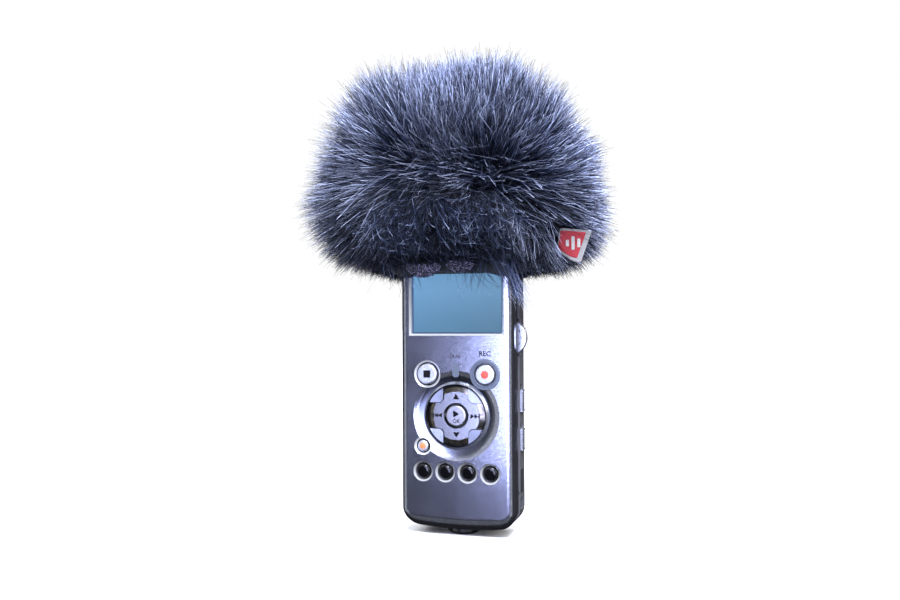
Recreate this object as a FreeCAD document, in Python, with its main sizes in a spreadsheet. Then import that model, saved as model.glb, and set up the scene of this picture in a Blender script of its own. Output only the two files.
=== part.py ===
import FreeCAD, Part
import Sketcher
import math
import os
import re
from FreeCAD import Placement, Rotation, Vector

# A hand-held stereo field recorder wearing a fur windshield.
# +Z runs up the recorder, the face with the display looks along -Y, and X is the width.
# The origin is the mouth of the tripod socket, in the middle of the lower end.

doc = FreeCAD.newDocument("FieldRecorder")
sheet = doc.addObject("Spreadsheet::Sheet", "Sizes")

SIZES = {
    # casing
    "case_width": 48.0,
    "case_depth": 22.4,
    "case_foot": 2.3,  # height of the casing's lower end above the socket's mouth
    "case_head": 119.3,
    "side_wall": 1.3,
    "face_wall": 2.0,
    "back_wall": 1.6,
    "foot_corner": 8.0,
    "head_corner": 6.0,
    "face_round": 2.7,
    "foot_round": 5.4,  # the face is rounded more at the lower end
    "back_round": 3.0,
    "foot_sag": 1.5,  # how far the lower end bows out
    "front_split": -6.0,  # depth where the front shell meets the side band
    "back_split": 0.6,
    "band_inset": 0.9,
    "ridge_inset": 0.35,
    "band_wall": 1.4,
    # display
    "display_width": 38.6,
    "display_height": 30.0,
    "display_foot": 82.9,
    "display_bevel": 0.9,
    "fit_gap": 0.1,
    # keys on the face
    "key_row": 66.2,
    "key_spread": 12.35,
    "key_radius": 4.2,
    "key_flange": 5.0,
    "recess_depth": 0.9,
    "ring_radius": 6.3,
    "menu_row": 26.3,
    "menu_pitch": 9.5,
    "menu_radius": 3.15,
    "function_x": -14.3,
    "function_z": 36.6,
    "function_radius": 2.3,
    # control pad
    "pad_z": 49.3,
    "pad_radius": 13.9,
    "pad_bore": 12.4,
    "dish_radius": 18.3,
    "dish_depth": 1.2,
    "arm_half": 5.4,
    "rocker_radius": 12.1,
    "rocker_flat": 9.9,
    "rocker_eye": 5.3,
    "hub_radius": 8.6,
    "play_radius": 4.25,
    # wheels in the sides
    "dial_radius": 7.5,
    "dial_width": 3.0,
    "dial_front": 0.3,
    "dial_reach": 3.1,  # how far a wheel stands out of the casing
    "record_dial_z": 81.0,
    "volume_dial_z": 75.3,
    "shaft_radius": 1.0,
    # sockets and sliders in the sides
    "port_y": 3.6,
    "jack_bore": 1.8,
    "jack_nose": 2.7,
    "jack_length": 11.0,
    "ear_jack_z": 97.8,
    "mic_jack_z": 88.3,
    "slider_length": 9.0,
    "slider_travel": 2.0,
    "mic_sense_z": 54.8,
    "low_cut_z": 38.8,
    "power_z": 54.3,
    "usb_z": 21.7,
    "lug_z": 12.5,
    # circuit board and what stands on it
    "board_front": -7.5,
    "board_thick": 0.8,
    # power
    "cell_radius": 7.05,
    "cell_length": 49.0,
    "bay_foot": 14.2,
    "spring_length": 3.0,
    "cell_y": 2.9,
    "door_width": 31.0,
    "door_height": 55.0,
    "door_foot": 12.8,
    "flap_thick": 1.1,
    "speaker_z": 92.3,
    # tripod socket
    "boss_radius": 6.8,
    "bush_radius": 5.0,
    "socket_bore": 2.6,
    "socket_depth": 9.0,
    # microphones
    "mic_x": 12.0,
    "mic_z": 123.7,
    "mic_radius": 5.5,
    "mic_length": 9.0,
    # windshield
    "fur_width": 128.0,
    "fur_depth": 90.0,
    "fur_foot": 104.1,
    "fur_height": 93.0,
    "fur_round": 43.0,
    "fur_crown": 40.0,
    "fur_hem": 26.0,
    "liner_width": 72.0,
    "liner_depth": 46.0,
    "liner_foot": 105.8,
    "liner_height": 60.0,
    "liner_round": 16.0,
    "liner_wall": 1.6,
    "liner_inside": 14.4,  # liner_round less liner_wall
    "neck_gap": 0.6,
    "hem_thick": 1.5,
    "hem_height": 5.2,
    "neck_round": 3.0,
    "hem_round": 4.5,  # neck_round and hem_thick together
    "label_thick": 0.8,
}

for row, (alias, number) in enumerate(SIZES.items(), start=1):
    sheet.set(f"A{row}", alias)
    sheet.set(f"B{row}", str(number))
    sheet.setAlias(f"B{row}", alias)
doc.recompute()

SIZE_NAME = re.compile(r"\b(" + "|".join(sorted(SIZES, key=len, reverse=True)) + r")\b")
PARTS = []  # the sub-parts, in the order they are made


# ---------------------------------------------------------------- building blocks


def formula(text):
    """An expression on the sheet, from a formula written with the plain size names."""
    return SIZE_NAME.sub(r"Sizes.\1", str(text))


def bind(obj, prop, text):
    obj.setExpression(prop, formula(text))


def put(obj, at=(0, 0, 0), turn=None):
    """Places obj at three formulas, after turning it."""
    if turn is not None:
        obj.Placement = Placement(Vector(0, 0, 0), turn)
    for axis, text in zip("xyz", at):
        bind(obj, f"Placement.Base.{axis}", text)
    return obj


def named(obj, label):
    """Marks obj as the sub-part with that name."""
    obj.Label = label
    PARTS.append(obj)
    return obj


TURNS = {
    "x": Rotation(Vector(0, 0, 1), Vector(1, 0, 0)),
    "-x": Rotation(Vector(0, 0, 1), Vector(-1, 0, 0)),
    "y": Rotation(Vector(0, 0, 1), Vector(0, 1, 0)),
    "-y": Rotation(Vector(0, 0, 1), Vector(0, -1, 0)),
    "z": Rotation(),
}


def block(size, centre):
    """A box of three formulas about a centre of three formulas."""
    box = doc.addObject("Part::Box", "Block")
    for prop, text in zip(("Length", "Width", "Height"), size):
        bind(box, prop, text)
    return put(box, [f"({c}) - ({s}) / 2" for c, s in zip(centre, size)])


def cylinder(radius, height, foot, axis="z"):
    rod = doc.addObject("Part::Cylinder", "Rod")
    bind(rod, "Radius", radius)
    bind(rod, "Height", height)
    return put(rod, foot, TURNS[axis])


def cone(radius, far_radius, height, foot, axis="z"):
    horn = doc.addObject("Part::Cone", "Horn")
    bind(horn, "Radius1", radius)
    bind(horn, "Radius2", far_radius)
    bind(horn, "Height", height)
    return put(horn, foot, TURNS[axis])


def fuse(*shapes):
    joined = doc.addObject("Part::MultiFuse", "Joined")
    joined.Shapes = list(shapes)
    return joined


def cut(base, *tools):
    taken = doc.addObject("Part::Cut", "Taken")
    taken.Base = base
    taken.Tool = tools[0] if len(tools) == 1 else fuse(*tools)
    return taken


def common(first, second):
    shared = doc.addObject("Part::Common", "Shared")
    shared.Base = first
    shared.Tool = second
    return shared


def group(*shapes):
    """Separate solids that share one node."""
    several = doc.addObject("Part::Compound", "Several")
    several.Links = list(shapes)
    return several


def rounded(base, radius, wanted):
    """Part::Fillet on the edges of base for which wanted(edge) is true."""
    doc.recompute()
    round_off = doc.addObject("Part::Fillet", "RoundOff")
    round_off.Base = base
    size = SIZES[radius]
    round_off.Edges = [
        (i, size, size) for i, edge in enumerate(base.Shape.Edges, start=1) if wanted(edge)
    ]
    return round_off


# ---------------------------------------------------------------- PartDesign helpers


def new_body(name, at=(0, 0, 0), turn=None):
    return put(doc.addObject("PartDesign::Body", name), at, turn)


def new_sketch(body, plane, at=(0, 0, 0)):
    """A sketch on one of the body's own planes, moved by three formulas in the plane's own axes."""
    sketch = body.newObject("Sketcher::SketchObject", "Sketch")
    support = next(f for f in body.Origin.OriginFeatures if f.Role == plane)
    sketch.AttachmentSupport = [(support, "")]
    sketch.MapMode = "FlatFace"
    for axis, text in zip("xyz", at):
        bind(sketch, f"AttachmentOffset.Base.{axis}", text)
    return sketch


def hold_point(sketch, geometry, end, x, y):
    """Ties a point of the sketch to two formulas, or to an axis where a formula is 0."""
    now = sketch.getPoint(geometry, end)
    for kind, text, axis, value in (("DistanceX", x, -2, now.x), ("DistanceY", y, -1, now.y)):
        if str(text) == "0":
            sketch.addConstraint(Sketcher.Constraint("PointOnObject", geometry, end, axis))
            continue
        index = sketch.addConstraint(Sketcher.Constraint(kind, -1, 1, geometry, end, value))
        bind(sketch, f"Constraints[{index}]", text)


def draw_circle(sketch, radius):
    sketch.addGeometry(Part.Circle(Vector(0, 0, 0), Vector(0, 0, 1), 1), False)
    sketch.addConstraint(Sketcher.Constraint("Coincident", 0, 3, -1, 1))
    index = sketch.addConstraint(Sketcher.Constraint("Radius", 0, 1.0))
    bind(sketch, f"Constraints[{index}]", radius)


def draw_polygon(sketch, points):
    """A closed outline whose corners are pairs of formulas."""
    count = len(points)
    rough = [Vector(math.cos(2 * math.pi * i / count), math.sin(2 * math.pi * i / count), 0)
             for i in range(count)]
    for i in range(count):
        sketch.addGeometry(Part.LineSegment(rough[i], rough[(i + 1) % count]), False)
    for i in range(count):
        sketch.addConstraint(Sketcher.Constraint("Coincident", i, 2, (i + 1) % count, 1))
    for i, (x, y) in enumerate(points):
        hold_point(sketch, i, 1, x, y)


def draw_rectangle(sketch, width, height):
    w, h = f"({width}) / 2", f"({height}) / 2"
    draw_polygon(sketch, [(f"-{w}", f"-{h}"), (w, f"-{h}"), (w, h), (f"-{w}", h)])


def draw_outline(sketch, inset):
    """The casing's outline from the front, set in by a formula: three straight sides and a bowed foot."""
    half = f"case_width / 2 - ({inset})"
    foot = f"case_foot + foot_sag + ({inset})"
    head = f"case_head - ({inset})"
    width, low, high = SIZES["case_width"] / 2, SIZES["case_foot"], SIZES["case_head"]
    sag = SIZES["foot_sag"]
    corners = [Vector(width, low + sag, 0), Vector(width, high, 0),
               Vector(-width, high, 0), Vector(-width, low + sag, 0)]
    for start, end in zip(corners, corners[1:]):
        sketch.addGeometry(Part.LineSegment(start, end), False)
    bow = Part.Arc(corners[3], Vector(0, low, 0), corners[0])
    sketch.addGeometry(bow, False)
    for i in range(2):
        sketch.addConstraint(Sketcher.Constraint("Coincident", i, 2, i + 1, 1))
    sketch.addConstraint(Sketcher.Constraint("Coincident", 2, 2, 3, 1))
    sketch.addConstraint(Sketcher.Constraint("Coincident", 3, 2, 0, 1))
    hold_point(sketch, 0, 1, half, foot)
    hold_point(sketch, 1, 1, half, head)
    hold_point(sketch, 2, 1, f"-({half})", head)
    hold_point(sketch, 3, 1, f"-({half})", foot)
    index = sketch.addConstraint(Sketcher.Constraint("Radius", 3, sketch.Geometry[3].Radius))
    bind(sketch, f"Constraints[{index}]", f"(({half})^2 + foot_sag^2) / (2 * foot_sag)")


def feature(body, kind, sketch, **formulas):
    made = body.newObject(f"PartDesign::{kind}", kind)
    made.Profile = sketch
    for prop, text in formulas.items():
        bind(made, prop, text)
    return made


def pad(body, sketch, length, backwards=False):
    made = feature(body, "Pad", sketch, Length=length)
    made.Reversed = backwards
    return made


def pocket(body, sketch, length, backwards=False):
    made = feature(body, "Pocket", sketch, Length=length)
    made.Reversed = backwards
    return made


def turned(body, plane, points, axis, at=(0, 0, 0)):
    """A revolved solid from a profile of formulas, about the sketch's own H or V axis."""
    sketch = new_sketch(body, plane, at)
    draw_polygon(sketch, points)
    made = feature(body, "Revolution", sketch)
    made.ReferenceAxis = (sketch, [axis])
    made.Angle = 360
    return made


def dress(body, kind, base, wanted, size, prop="Radius"):
    """A PartDesign fillet or chamfer on the edges of base for which wanted(edge) is true."""
    doc.recompute()
    made = body.newObject(f"PartDesign::{kind}", kind)
    names = [f"Edge{i}" for i, edge in enumerate(base.Shape.Edges, start=1) if wanted(edge)]
    made.Base = (base, names)
    bind(made, "Radius" if kind == "Fillet" else "Size", size)
    return made


def ends(edge):
    return [v.Point for v in edge.Vertexes]


def runs_along(edge, axis):
    """True for a straight edge parallel to X (0), Y (1) or Z (2)."""
    if edge.Curve.TypeId != "Part::GeomLine" or len(edge.Vertexes) < 2:
        return False
    a, b = ends(edge)
    return all(abs(a[k] - b[k]) < 1e-6 for k in range(3) if k != axis)


def lies_at(edge, axis, value):
    box = edge.BoundBox
    low = (box.XMin, box.YMin, box.ZMin)[axis]
    high = (box.XMax, box.YMax, box.ZMax)[axis]
    return abs(low - value) < 1e-4 and abs(high - value) < 1e-4


# ---------------------------------------------------------------- casing


def slab(name, inset, start, length, facing):
    """A plate with the casing's outline, from the depth start on towards facing (-1 front, 1 rear)."""
    body = new_body(name)
    sketch = new_sketch(body, "XZ_Plane", (0, 0, f"-({start})"))
    draw_outline(sketch, inset)
    solid = pad(body, sketch, length, backwards=facing > 0)
    middle = (SIZES["case_foot"] + SIZES["case_head"]) / 2
    solid = dress(body, "Fillet", solid,
                  lambda e: runs_along(e, 1) and ends(e)[0].z < middle, f"foot_corner - ({inset})")
    body.Tip = dress(body, "Fillet", solid,
                     lambda e: runs_along(e, 1) and ends(e)[0].z > middle
                     and abs(ends(e)[0].x) > SIZES["case_width"] / 2 - 3, f"head_corner - ({inset})")
    return body


def face_rounding(tray, outer):
    """Rounds the face's rim: more along the lower end, and growing round the lower corners."""
    doc.recompute()
    small, large = SIZES["face_round"], SIZES["foot_round"]
    low = SIZES["case_foot"] + SIZES["foot_sag"]
    radii = []
    for i, edge in enumerate(tray.Shape.Edges, start=1):
        if not lies_at(edge, 1, outer):
            continue
        first, last = (edge.valueAt(t).z for t in edge.ParameterRange)
        corner = edge.BoundBox.ZMax - edge.BoundBox.ZMin > 2 and max(first, last) < low + 12
        if max(first, last) < low + 2:
            radii.append((i, large, large))
        elif corner:
            radii.append((i, large, small) if first < last else (i, small, large))
        else:
            radii.append((i, small, small))
    round_off = doc.addObject("Part::Fillet", "FaceRounding")
    round_off.Base = tray
    round_off.Edges = radii
    return round_off


def casing_shell(name, split, depth, wall_left, outer_round, facing):
    """A shallow tray with the casing's outline, open towards the side band."""
    tray = slab(name, "0", split, depth, facing)
    outer = facing * SIZES["case_depth"] / 2
    if facing > 0:
        tray.Tip = dress(tray, "Fillet", tray.Tip, lambda e: lies_at(e, 1, outer), outer_round)
    else:
        tray = face_rounding(tray, outer)
    hollow = slab(name + "Hollow", "side_wall", split, f"({depth}) - ({wall_left})", facing)
    return cut(tray, hollow)


FACE = "-case_depth / 2"
BACK = "case_depth / 2"
DOOR_HINGE = ("0", f"{BACK} - flap_thick / 2", "door_foot + flap_thick / 2")
CARD_COVER = {"width": "27.6", "reach": "3.6", "z": "31.3"}
CARD_HINGE = ("-case_width / 2 + flap_thick / 2", "-3.9", CARD_COVER["z"])
USB_COVER = {"width": "5.2", "reach": "9.8"}
USB_HINGE = ("case_width / 2 - flap_thick / 2", "port_y", "usb_z - 4.6")
MENU_KEYS = {"list_button": "-1.5", "erase_button": "-0.5", "repeat_button": "0.5", "menu_button": "1.5"}
SCREW_PLACES = [("-19", "11.8"), ("19", "11.8"), ("-19", "110.3"), ("19", "110.3")]


def through_face(radius, x, z, depth="face_wall + 1"):
    """A round hole's tool through the face wall."""
    return cylinder(radius, depth, (x, f"{FACE} - 0.5", z), "y")


def recess(radius, floor_radius, x, z):
    """A conical recess round a key: wide at the face and narrow at its floor."""
    return cone(radius, floor_radius, "recess_depth", (x, FACE, z), "y")


def dish_tool():
    """The shallow round bowl in the face that the control pad sits in."""
    body = new_body("Dish", ("0", FACE, "pad_z"))
    sketch = new_sketch(body, "XY_Plane")
    rim, floor = SIZES["dish_radius"], SIZES["pad_radius"] - 1
    depth = SIZES["dish_depth"]
    bowl = ((rim - floor) ** 2 + depth**2) / (2 * depth)
    lean = math.asin((rim - floor) / bowl) / 2
    between = Vector(floor + bowl * math.sin(lean), depth - bowl + bowl * math.cos(lean), 0)
    corners = [Vector(0, 0, 0), Vector(rim, 0, 0), Vector(floor, depth, 0), Vector(0, depth, 0)]
    sketch.addGeometry(Part.LineSegment(corners[0], corners[1]), False)
    sketch.addGeometry(Part.Arc(corners[1], between, corners[2]), False)
    sketch.addGeometry(Part.LineSegment(corners[2], corners[3]), False)
    sketch.addGeometry(Part.LineSegment(corners[3], corners[0]), False)
    # a bowed edge keeps its way round, so its first end is the one nearer +X
    sketch.addConstraint(Sketcher.Constraint("Coincident", 0, 2, 1, 1))
    sketch.addConstraint(Sketcher.Constraint("Coincident", 1, 2, 2, 1))
    sketch.addConstraint(Sketcher.Constraint("Coincident", 2, 2, 3, 1))
    sketch.addConstraint(Sketcher.Constraint("Coincident", 3, 2, 0, 1))
    hold_point(sketch, 0, 1, "0", "0")
    hold_point(sketch, 1, 1, "dish_radius", "0")
    hold_point(sketch, 2, 1, "pad_radius - 1", "dish_depth")
    hold_point(sketch, 3, 1, "0", "dish_depth")
    index = sketch.addConstraint(Sketcher.Constraint("Radius", 1, bowl))
    bind(sketch, f"Constraints[{index}]",
         "((dish_radius - pad_radius + 1)^2 + dish_depth^2) / (2 * dish_depth)")
    body.Tip = feature(body, "Revolution", sketch)
    body.Tip.ReferenceAxis = (sketch, ["V_Axis"])
    body.Tip.Angle = 360
    return body


def display_opening():
    """The display's hole with a bevel all round its front edge."""
    gap = "fit_gap"
    middle = "display_foot + display_height / 2"
    body = new_body("DisplayOpening", ("0", f"{FACE} + display_bevel", middle))
    sketch = new_sketch(body, "XZ_Plane")
    draw_rectangle(sketch, f"display_width + 2 * {gap}", f"display_height + 2 * {gap}")
    bevel = pad(body, sketch, "display_bevel")
    bevel.TaperAngle = 45
    hole = block((f"display_width + 2 * {gap}", "face_wall + 1", f"display_height + 2 * {gap}"),
                 ("0", f"{FACE} + face_wall / 2 + 0.5", middle))
    return fuse(body, hole)


def bush_tool():
    return cylinder("bush_radius", "12", ("0", "0", "case_foot - 2"))


def flap_tools(hinge, width, reach, turn):
    """What a shell loses for a flap: its opening and the two sockets of its hinge pins."""
    gap = "0.15"
    opening = block((f"{width} + 2 * {gap}", "flap_thick + 2", f"{reach} + 2 * {gap}"),
                    ("0", "1 - 0.05", f"({reach}) / 2 - flap_thick / 2"))
    pins = cylinder("0.4", f"{width} + 1.9", (f"-({width}) / 2 - 0.95", "0", "0"), "x")
    return put(fuse(opening, pins), hinge, turn)


CARD_TURN = Rotation(Vector(0, 0, 1), Vector(-1, 0, 0), Vector(0, -1, 0), "ZXY")
USB_TURN = Rotation(Vector(0, -1, 0), Vector(1, 0, 0), Vector(0, 0, 1), "ZXY")


def card_tools():
    """The card cover's opening and the slot for the card behind it."""
    return [flap_tools(CARD_HINGE, CARD_COVER["width"], CARD_COVER["reach"], CARD_TURN),
            block(("5", "2.5", "24.8"), ("-22.5", "-5.55", CARD_COVER["z"]))]


def dial_slot(side, z):
    return block(("10", "dial_width + 0.6", "2 * dial_radius + 0.6"),
                 (f"{side} * (case_width / 2 - 1)", "dial_front + dial_width / 2", z))


def front_shell():
    tray = casing_shell("FrontTray", "front_split", "case_depth / 2 + front_split",
                        "face_wall", "face_round", -1)
    keys = [through_face("key_radius + 0.2", "-key_spread", "key_row"),
            recess("5.7", "4.7", "-key_spread", "key_row"),
            through_face("ring_radius + 0.05", "key_spread", "key_row"),
            through_face("pad_radius + 0.05", "0", "pad_z"),
            dish_tool(),
            through_face("function_radius + 0.2", "function_x", "function_z"),
            recess("3.8", "2.9", "function_x", "function_z")]
    for place in MENU_KEYS.values():
        x = f"{place} * menu_pitch"
        keys += [through_face("menu_radius + 0.2", x, "menu_row"),
                 recess("4.3", "3.6", x, "menu_row")]
    lamp = block(("2.8", "4", "4.8"), ("0", FACE, "key_row + 1.2"))
    named(cut(tray, display_opening(), lamp, *card_tools(), *keys), "front_shell")


def side_port(side, radius, z):
    return cylinder(radius, "6", (f"{side} * (case_width / 2 - 5)", "port_y", z),
                    "x" if side > 0 else "-x")


def side_band():
    """The dark frame between the two shells that holds the wheels, sliders and sockets."""
    outer = fuse(slab("BandOuter", "band_inset", "back_split", "back_split - front_split", -1),
                 slab("BandRidge", "ridge_inset", "back_split - 2.2", "1.8", -1))
    band = cut(outer, slab("BandInner", "band_inset + band_wall", "back_split",
                           "back_split - front_split", -1))
    tools = [bush_tool(), dial_slot(1, "record_dial_z"), dial_slot(-1, "volume_dial_z"), *card_tools()]
    named(cut(band, *tools), "side_band")


def rear_shell():
    tray = casing_shell("RearTray", "back_split", "case_depth / 2 - back_split",
                        "back_wall", "back_round", 1)
    tools = [bush_tool(),
             flap_tools(DOOR_HINGE, "door_width", "door_height", None),
             block(("door_width - 0.4", "6", "door_height - 1.6"),
                   ("0", f"{BACK} - 2", "door_foot + door_height / 2 + 0.3")),
             block(("10.4", "2", "7.2"), ("0", BACK, "door_foot + door_height + 5.4")),
             dial_slot(1, "record_dial_z"), dial_slot(-1, "volume_dial_z"),
             side_port(-1, "jack_nose + 0.05", "ear_jack_z"),
             side_port(-1, "jack_nose + 0.05", "mic_jack_z"),
             flap_tools(USB_HINGE, USB_COVER["width"], USB_COVER["reach"], USB_TURN),
             block(("6", "3.9", "8"), ("case_width / 2 - 3", "port_y", "usb_z")),
             block(("5", "4", "5"), ("case_width / 2 - 0.5", "port_y", "lug_z")),
             cylinder("0.8", "7.1", ("case_width / 2 - 1.8", "port_y", "lug_z - 3.55"))]
    for side, z in ((1, "mic_sense_z"), (1, "low_cut_z"), (-1, "power_z")):
        middle = f"{z} + slider_travel / 2"
        tools += [block(("1.6", "5", "slider_length + slider_travel + 0.6"),
                        (f"{side} * case_width / 2", "port_y", middle)),
                  block(("6", "1.6", "slider_travel + 2.6"),
                        (f"{side} * (case_width / 2 - 3)", "port_y", middle))]
    for x, z in SCREW_PLACES:
        tools += [cylinder("0.85", "4", (x, f"{BACK} - 3", z), "y"),
                  cylinder("1.75", "2", (x, f"{BACK} - 1.1", z), "y")]
    for step in range(-2, 3):
        tools.append(block(("9", "4", "1"), ("0", f"{BACK} - 1", f"speaker_z + {step} * 2.2")))
    named(cut(tray, *tools), "rear_shell")


def tripod_bush():
    """Black boss under the lower end with a blind hole for a 1/4 inch camera screw, at its tapping size."""
    body = new_body("TripodBush")
    shape = turned(body, "XZ_Plane",
                   [("socket_bore", "0"), ("boss_radius", "0"), ("boss_radius", "case_foot - 0.05"),
                    ("bush_radius - 0.05", "case_foot - 0.05"), ("bush_radius - 0.05", "case_foot + 8"),
                    ("0", "case_foot + 8"), ("0", "socket_depth"), ("socket_bore", "socket_depth")],
                   "V_Axis")
    rim = SIZES["boss_radius"]
    body.Tip = dress(body, "Fillet", shape,
                     lambda e: lies_at(e, 2, 0) and e.BoundBox.XMax > rim - 0.01, "1.4")
    named(body, "tripod_bush")


def screws():
    """Four small screws that hold the rear shell."""
    made = []
    for x, z in SCREW_PLACES:
        head = cylinder("1.6", "0.85", (x, f"{BACK} - 1.05", z), "y")
        shank = cylinder("0.8", "7", (x, f"{BACK} - 8", z), "y")
        slot = block(("2", "0.5", "0.4"), (x, f"{BACK} - 0.2", z))
        made.append(cut(fuse(head, shank), slot))
    named(group(*made), "case_screws")


# ---------------------------------------------------------------- display and lamps


def display():
    middle = "display_foot + display_height / 2"
    named(block(("display_width", "1.5", "display_height"), ("0", f"{FACE} + 1.15", middle)),
          "display_window")
    glass = block(("display_width + 2", "1.4", "display_height + 1.6"), ("0", f"{FACE} + 2.8", middle))
    tail = block(("16", "0.3", "5"), ("0", f"{FACE} + 3.2", "display_foot - 3.3"))
    named(fuse(glass, tail), "display_panel")
    lens = new_body("PeakLens", ("0", FACE, "key_row + 1.2"))
    sketch = new_sketch(lens, "XZ_Plane", (0, 0, "-2"))
    draw_rectangle(sketch, "2.7", "4.7")
    solid = pad(lens, sketch, "2.15")
    lens.Tip = dress(lens, "Fillet", solid, lambda e: runs_along(e, 1) and ends(e)[0].z < 0, "1.1")
    named(lens, "peak_lens")


# ---------------------------------------------------------------- keys


def key(label, radius, flange, top, x, z, crown="0.3", foot="2.75"):
    """A round key: a cap that stands in its hole, on a flange that keeps it behind the face wall."""
    body = new_body("Key", (x, FACE, z))
    shape = turned(body, "XY_Plane",
                   [("0", f"-({top})"), (radius, f"-({top})"), (radius, "face_wall + 0.1"),
                    (flange, "face_wall + 0.1"), (flange, foot), ("0", foot)], "V_Axis")
    front = -float(top)
    body.Tip = dress(body, "Fillet", shape, lambda e: lies_at(e, 1, front), crown)
    named(body, label)


def keys():
    key("stop_button", "key_radius", "key_flange", "0.35", "-key_spread", "key_row", "0.7")
    key("record_button", "key_radius", "key_flange", "0.35", "key_spread", "key_row", "0.7")
    key("function_button", "function_radius", "function_radius + 0.6", "0.2",
        "function_x", "function_z", "0.6")
    for label, place in MENU_KEYS.items():
        key(label, "menu_radius", "menu_radius + 0.7", "0.45", f"{place} * menu_pitch", "menu_row", "1.4")
    ring = new_body("LightRing", ("key_spread", FACE, "key_row"))
    shape = turned(ring, "XY_Plane",
                   [("key_radius + 0.2", "-0.25"), ("ring_radius", "-0.25"),
                    ("ring_radius", "face_wall + 0.05"), ("ring_radius + 0.3", "face_wall + 0.05"),
                    ("ring_radius + 0.3", "face_wall + 0.5"),
                    ("key_flange + 0.3", "face_wall + 0.5"), ("key_flange + 0.3", "face_wall + 0.05"),
                    ("key_radius + 0.2", "face_wall + 0.05")], "V_Axis")
    front = -0.25
    ring.Tip = dress(ring, "Fillet", shape, lambda e: lies_at(e, 1, front), "0.25")
    named(ring, "record_light_ring")


# ---------------------------------------------------------------- control pad


def quadrants(clear):
    """Four corner blocks' outlines as one tool: everything beyond the cross of arms, outside the hub."""
    size = "20"
    corners = []
    for side in (-1, 1):
        for up in (-1, 1):
            corners.append(block((size, "6", size),
                                 (f"{side} * (arm_half - {clear} + {size} / 2)", f"{FACE} + 1.5",
                                  f"pad_z + {up} * (arm_half - {clear} + {size} / 2)")))
    hub = cylinder(f"hub_radius - {clear}", "8", ("0", f"{FACE} - 2.5", "pad_z"), "y")
    return cut(fuse(*corners), hub)


def control_pad():
    bezel = new_body("Bezel", ("0", FACE, "pad_z"))
    turned(bezel, "XY_Plane",
           [("pad_bore", "-0.15"), ("pad_bore + 0.25", "-0.45"), ("pad_bore + 0.6", "-0.45"),
            ("pad_radius", "0.65"), ("pad_radius", "2.25"), ("pad_bore", "2.25")], "V_Axis")
    named(bezel, "pad_bezel")
    plate = cut(cylinder("pad_radius - 0.05", "0.5", ("0", f"{FACE} + 2.3", "pad_z"), "y"),
                cylinder("9", "2", ("0", f"{FACE} + 1.5", "pad_z"), "y"))
    named(plate, "pad_backplate")
    disc = cylinder("pad_bore - 0.1", "2.6", ("0", f"{FACE} - 0.35", "pad_z"), "y")
    named(common(disc, quadrants("0")), "pad_corner_blocks")
    rocker = new_body("RockerDisc", ("0", FACE, "pad_z"))
    turned(rocker, "XY_Plane",
           [("rocker_eye", "0.3"), ("rocker_flat", "0.3"), ("rocker_radius", "1"),
            ("rocker_radius", "1.35"), ("rocker_eye", "1.35")], "V_Axis")
    named(cut(rocker, quadrants("0.3")), "rocker_cap")
    ring = cut(cylinder("8", "0.5", ("0", f"{FACE} + 1.7", "pad_z"), "y"),
               cylinder("5.6", "2", ("0", f"{FACE} + 1", "pad_z"), "y"))
    nubs = [cylinder("0.8", "0.6", (f"{x} * 6.9", f"{FACE} + 2.05", f"pad_z + {z} * 6.9"), "y")
            for x, z in ((1, 0), (-1, 0), (0, 1), (0, -1))]
    named(fuse(ring, *nubs), "rocker_pivot_ring")
    play = new_body("PlayKey", ("0", FACE, "pad_z"))
    shape = turned(play, "XY_Plane",
                   [("0", "-0.2"), ("play_radius", "-0.2"), ("play_radius", "2.75"), ("0", "2.75")],
                   "V_Axis")
    front = -0.2
    play.Tip = dress(play, "Fillet", shape, lambda e: lies_at(e, 1, front), "0.5")
    named(play, "play_button")


# ---------------------------------------------------------------- wheels


def dial(label, pot_label, side, z):
    """A thumbwheel with a fluted rim on the shaft of its potentiometer."""
    x = f"{side} * (case_width / 2 + dial_reach - dial_radius)"
    body = new_body("Wheel", (x, "dial_front", z))
    sketch = new_sketch(body, "XZ_Plane")
    draw_circle(sketch, "dial_radius")
    disc = pad(body, sketch, "dial_width", backwards=True)
    disc = dress(body, "Chamfer", disc, lambda e: True, "0.3")
    flute = new_sketch(body, "XZ_Plane", ("dial_radius + 0.1", 0, 0))
    draw_circle(flute, "0.42")
    groove = pocket(body, flute, "dial_width")
    fluted = body.newObject("PartDesign::PolarPattern", "Fluting")
    fluted.Originals = [groove]
    fluted.Axis = (sketch, ["N_Axis"])
    fluted.Angle = 360
    fluted.Occurrences = 40
    body.Tip = fluted
    eye = new_sketch(body, "XZ_Plane")
    draw_circle(eye, "shaft_radius + 0.05")
    body.Tip = pocket(body, eye, "dial_width")
    named(body, label)
    box = block(("5.4", "2.4", "8"), (x, "dial_front + dial_width + 1.6", z))
    shaft = cylinder("shaft_radius", "dial_width + 0.6", (x, "dial_front", z), "y")
    named(fuse(box, shaft), pot_label)


# ---------------------------------------------------------------- sliders


def slider(label, side, z):
    """A ribbed slider cap on a stem that goes through its slot in the band."""
    top = "case_width / 2 + 1"
    base = "case_width / 2 - 0.7"
    cap = block((f"({top}) - ({base})", "4.6", "slider_length"),
                (f"{side} * (({top}) + ({base})) / 2", "port_y", z))
    stem = block(("2.6", "1.2", "2"), (f"{side} * (({base}) - 1.2)", "port_y", z))
    ribs = [block(("0.9", "6", "0.5"), (f"{side} * ({top})", "port_y", f"{z} + {step} * 1.1"))
            for step in range(-3, 4)]
    named(cut(fuse(cap, stem), *ribs), label)


def slider_bodies():
    """The three slide switches behind the caps."""
    made = []
    for side, z in ((1, "mic_sense_z"), (1, "low_cut_z"), (-1, "power_z")):
        made.append(block(("3", "4.6", "9"), (f"{side} * 18.4", "port_y", f"{z} + slider_travel / 2")))
    named(group(*made), "slide_switch_bodies")


# ---------------------------------------------------------------- sockets


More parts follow.
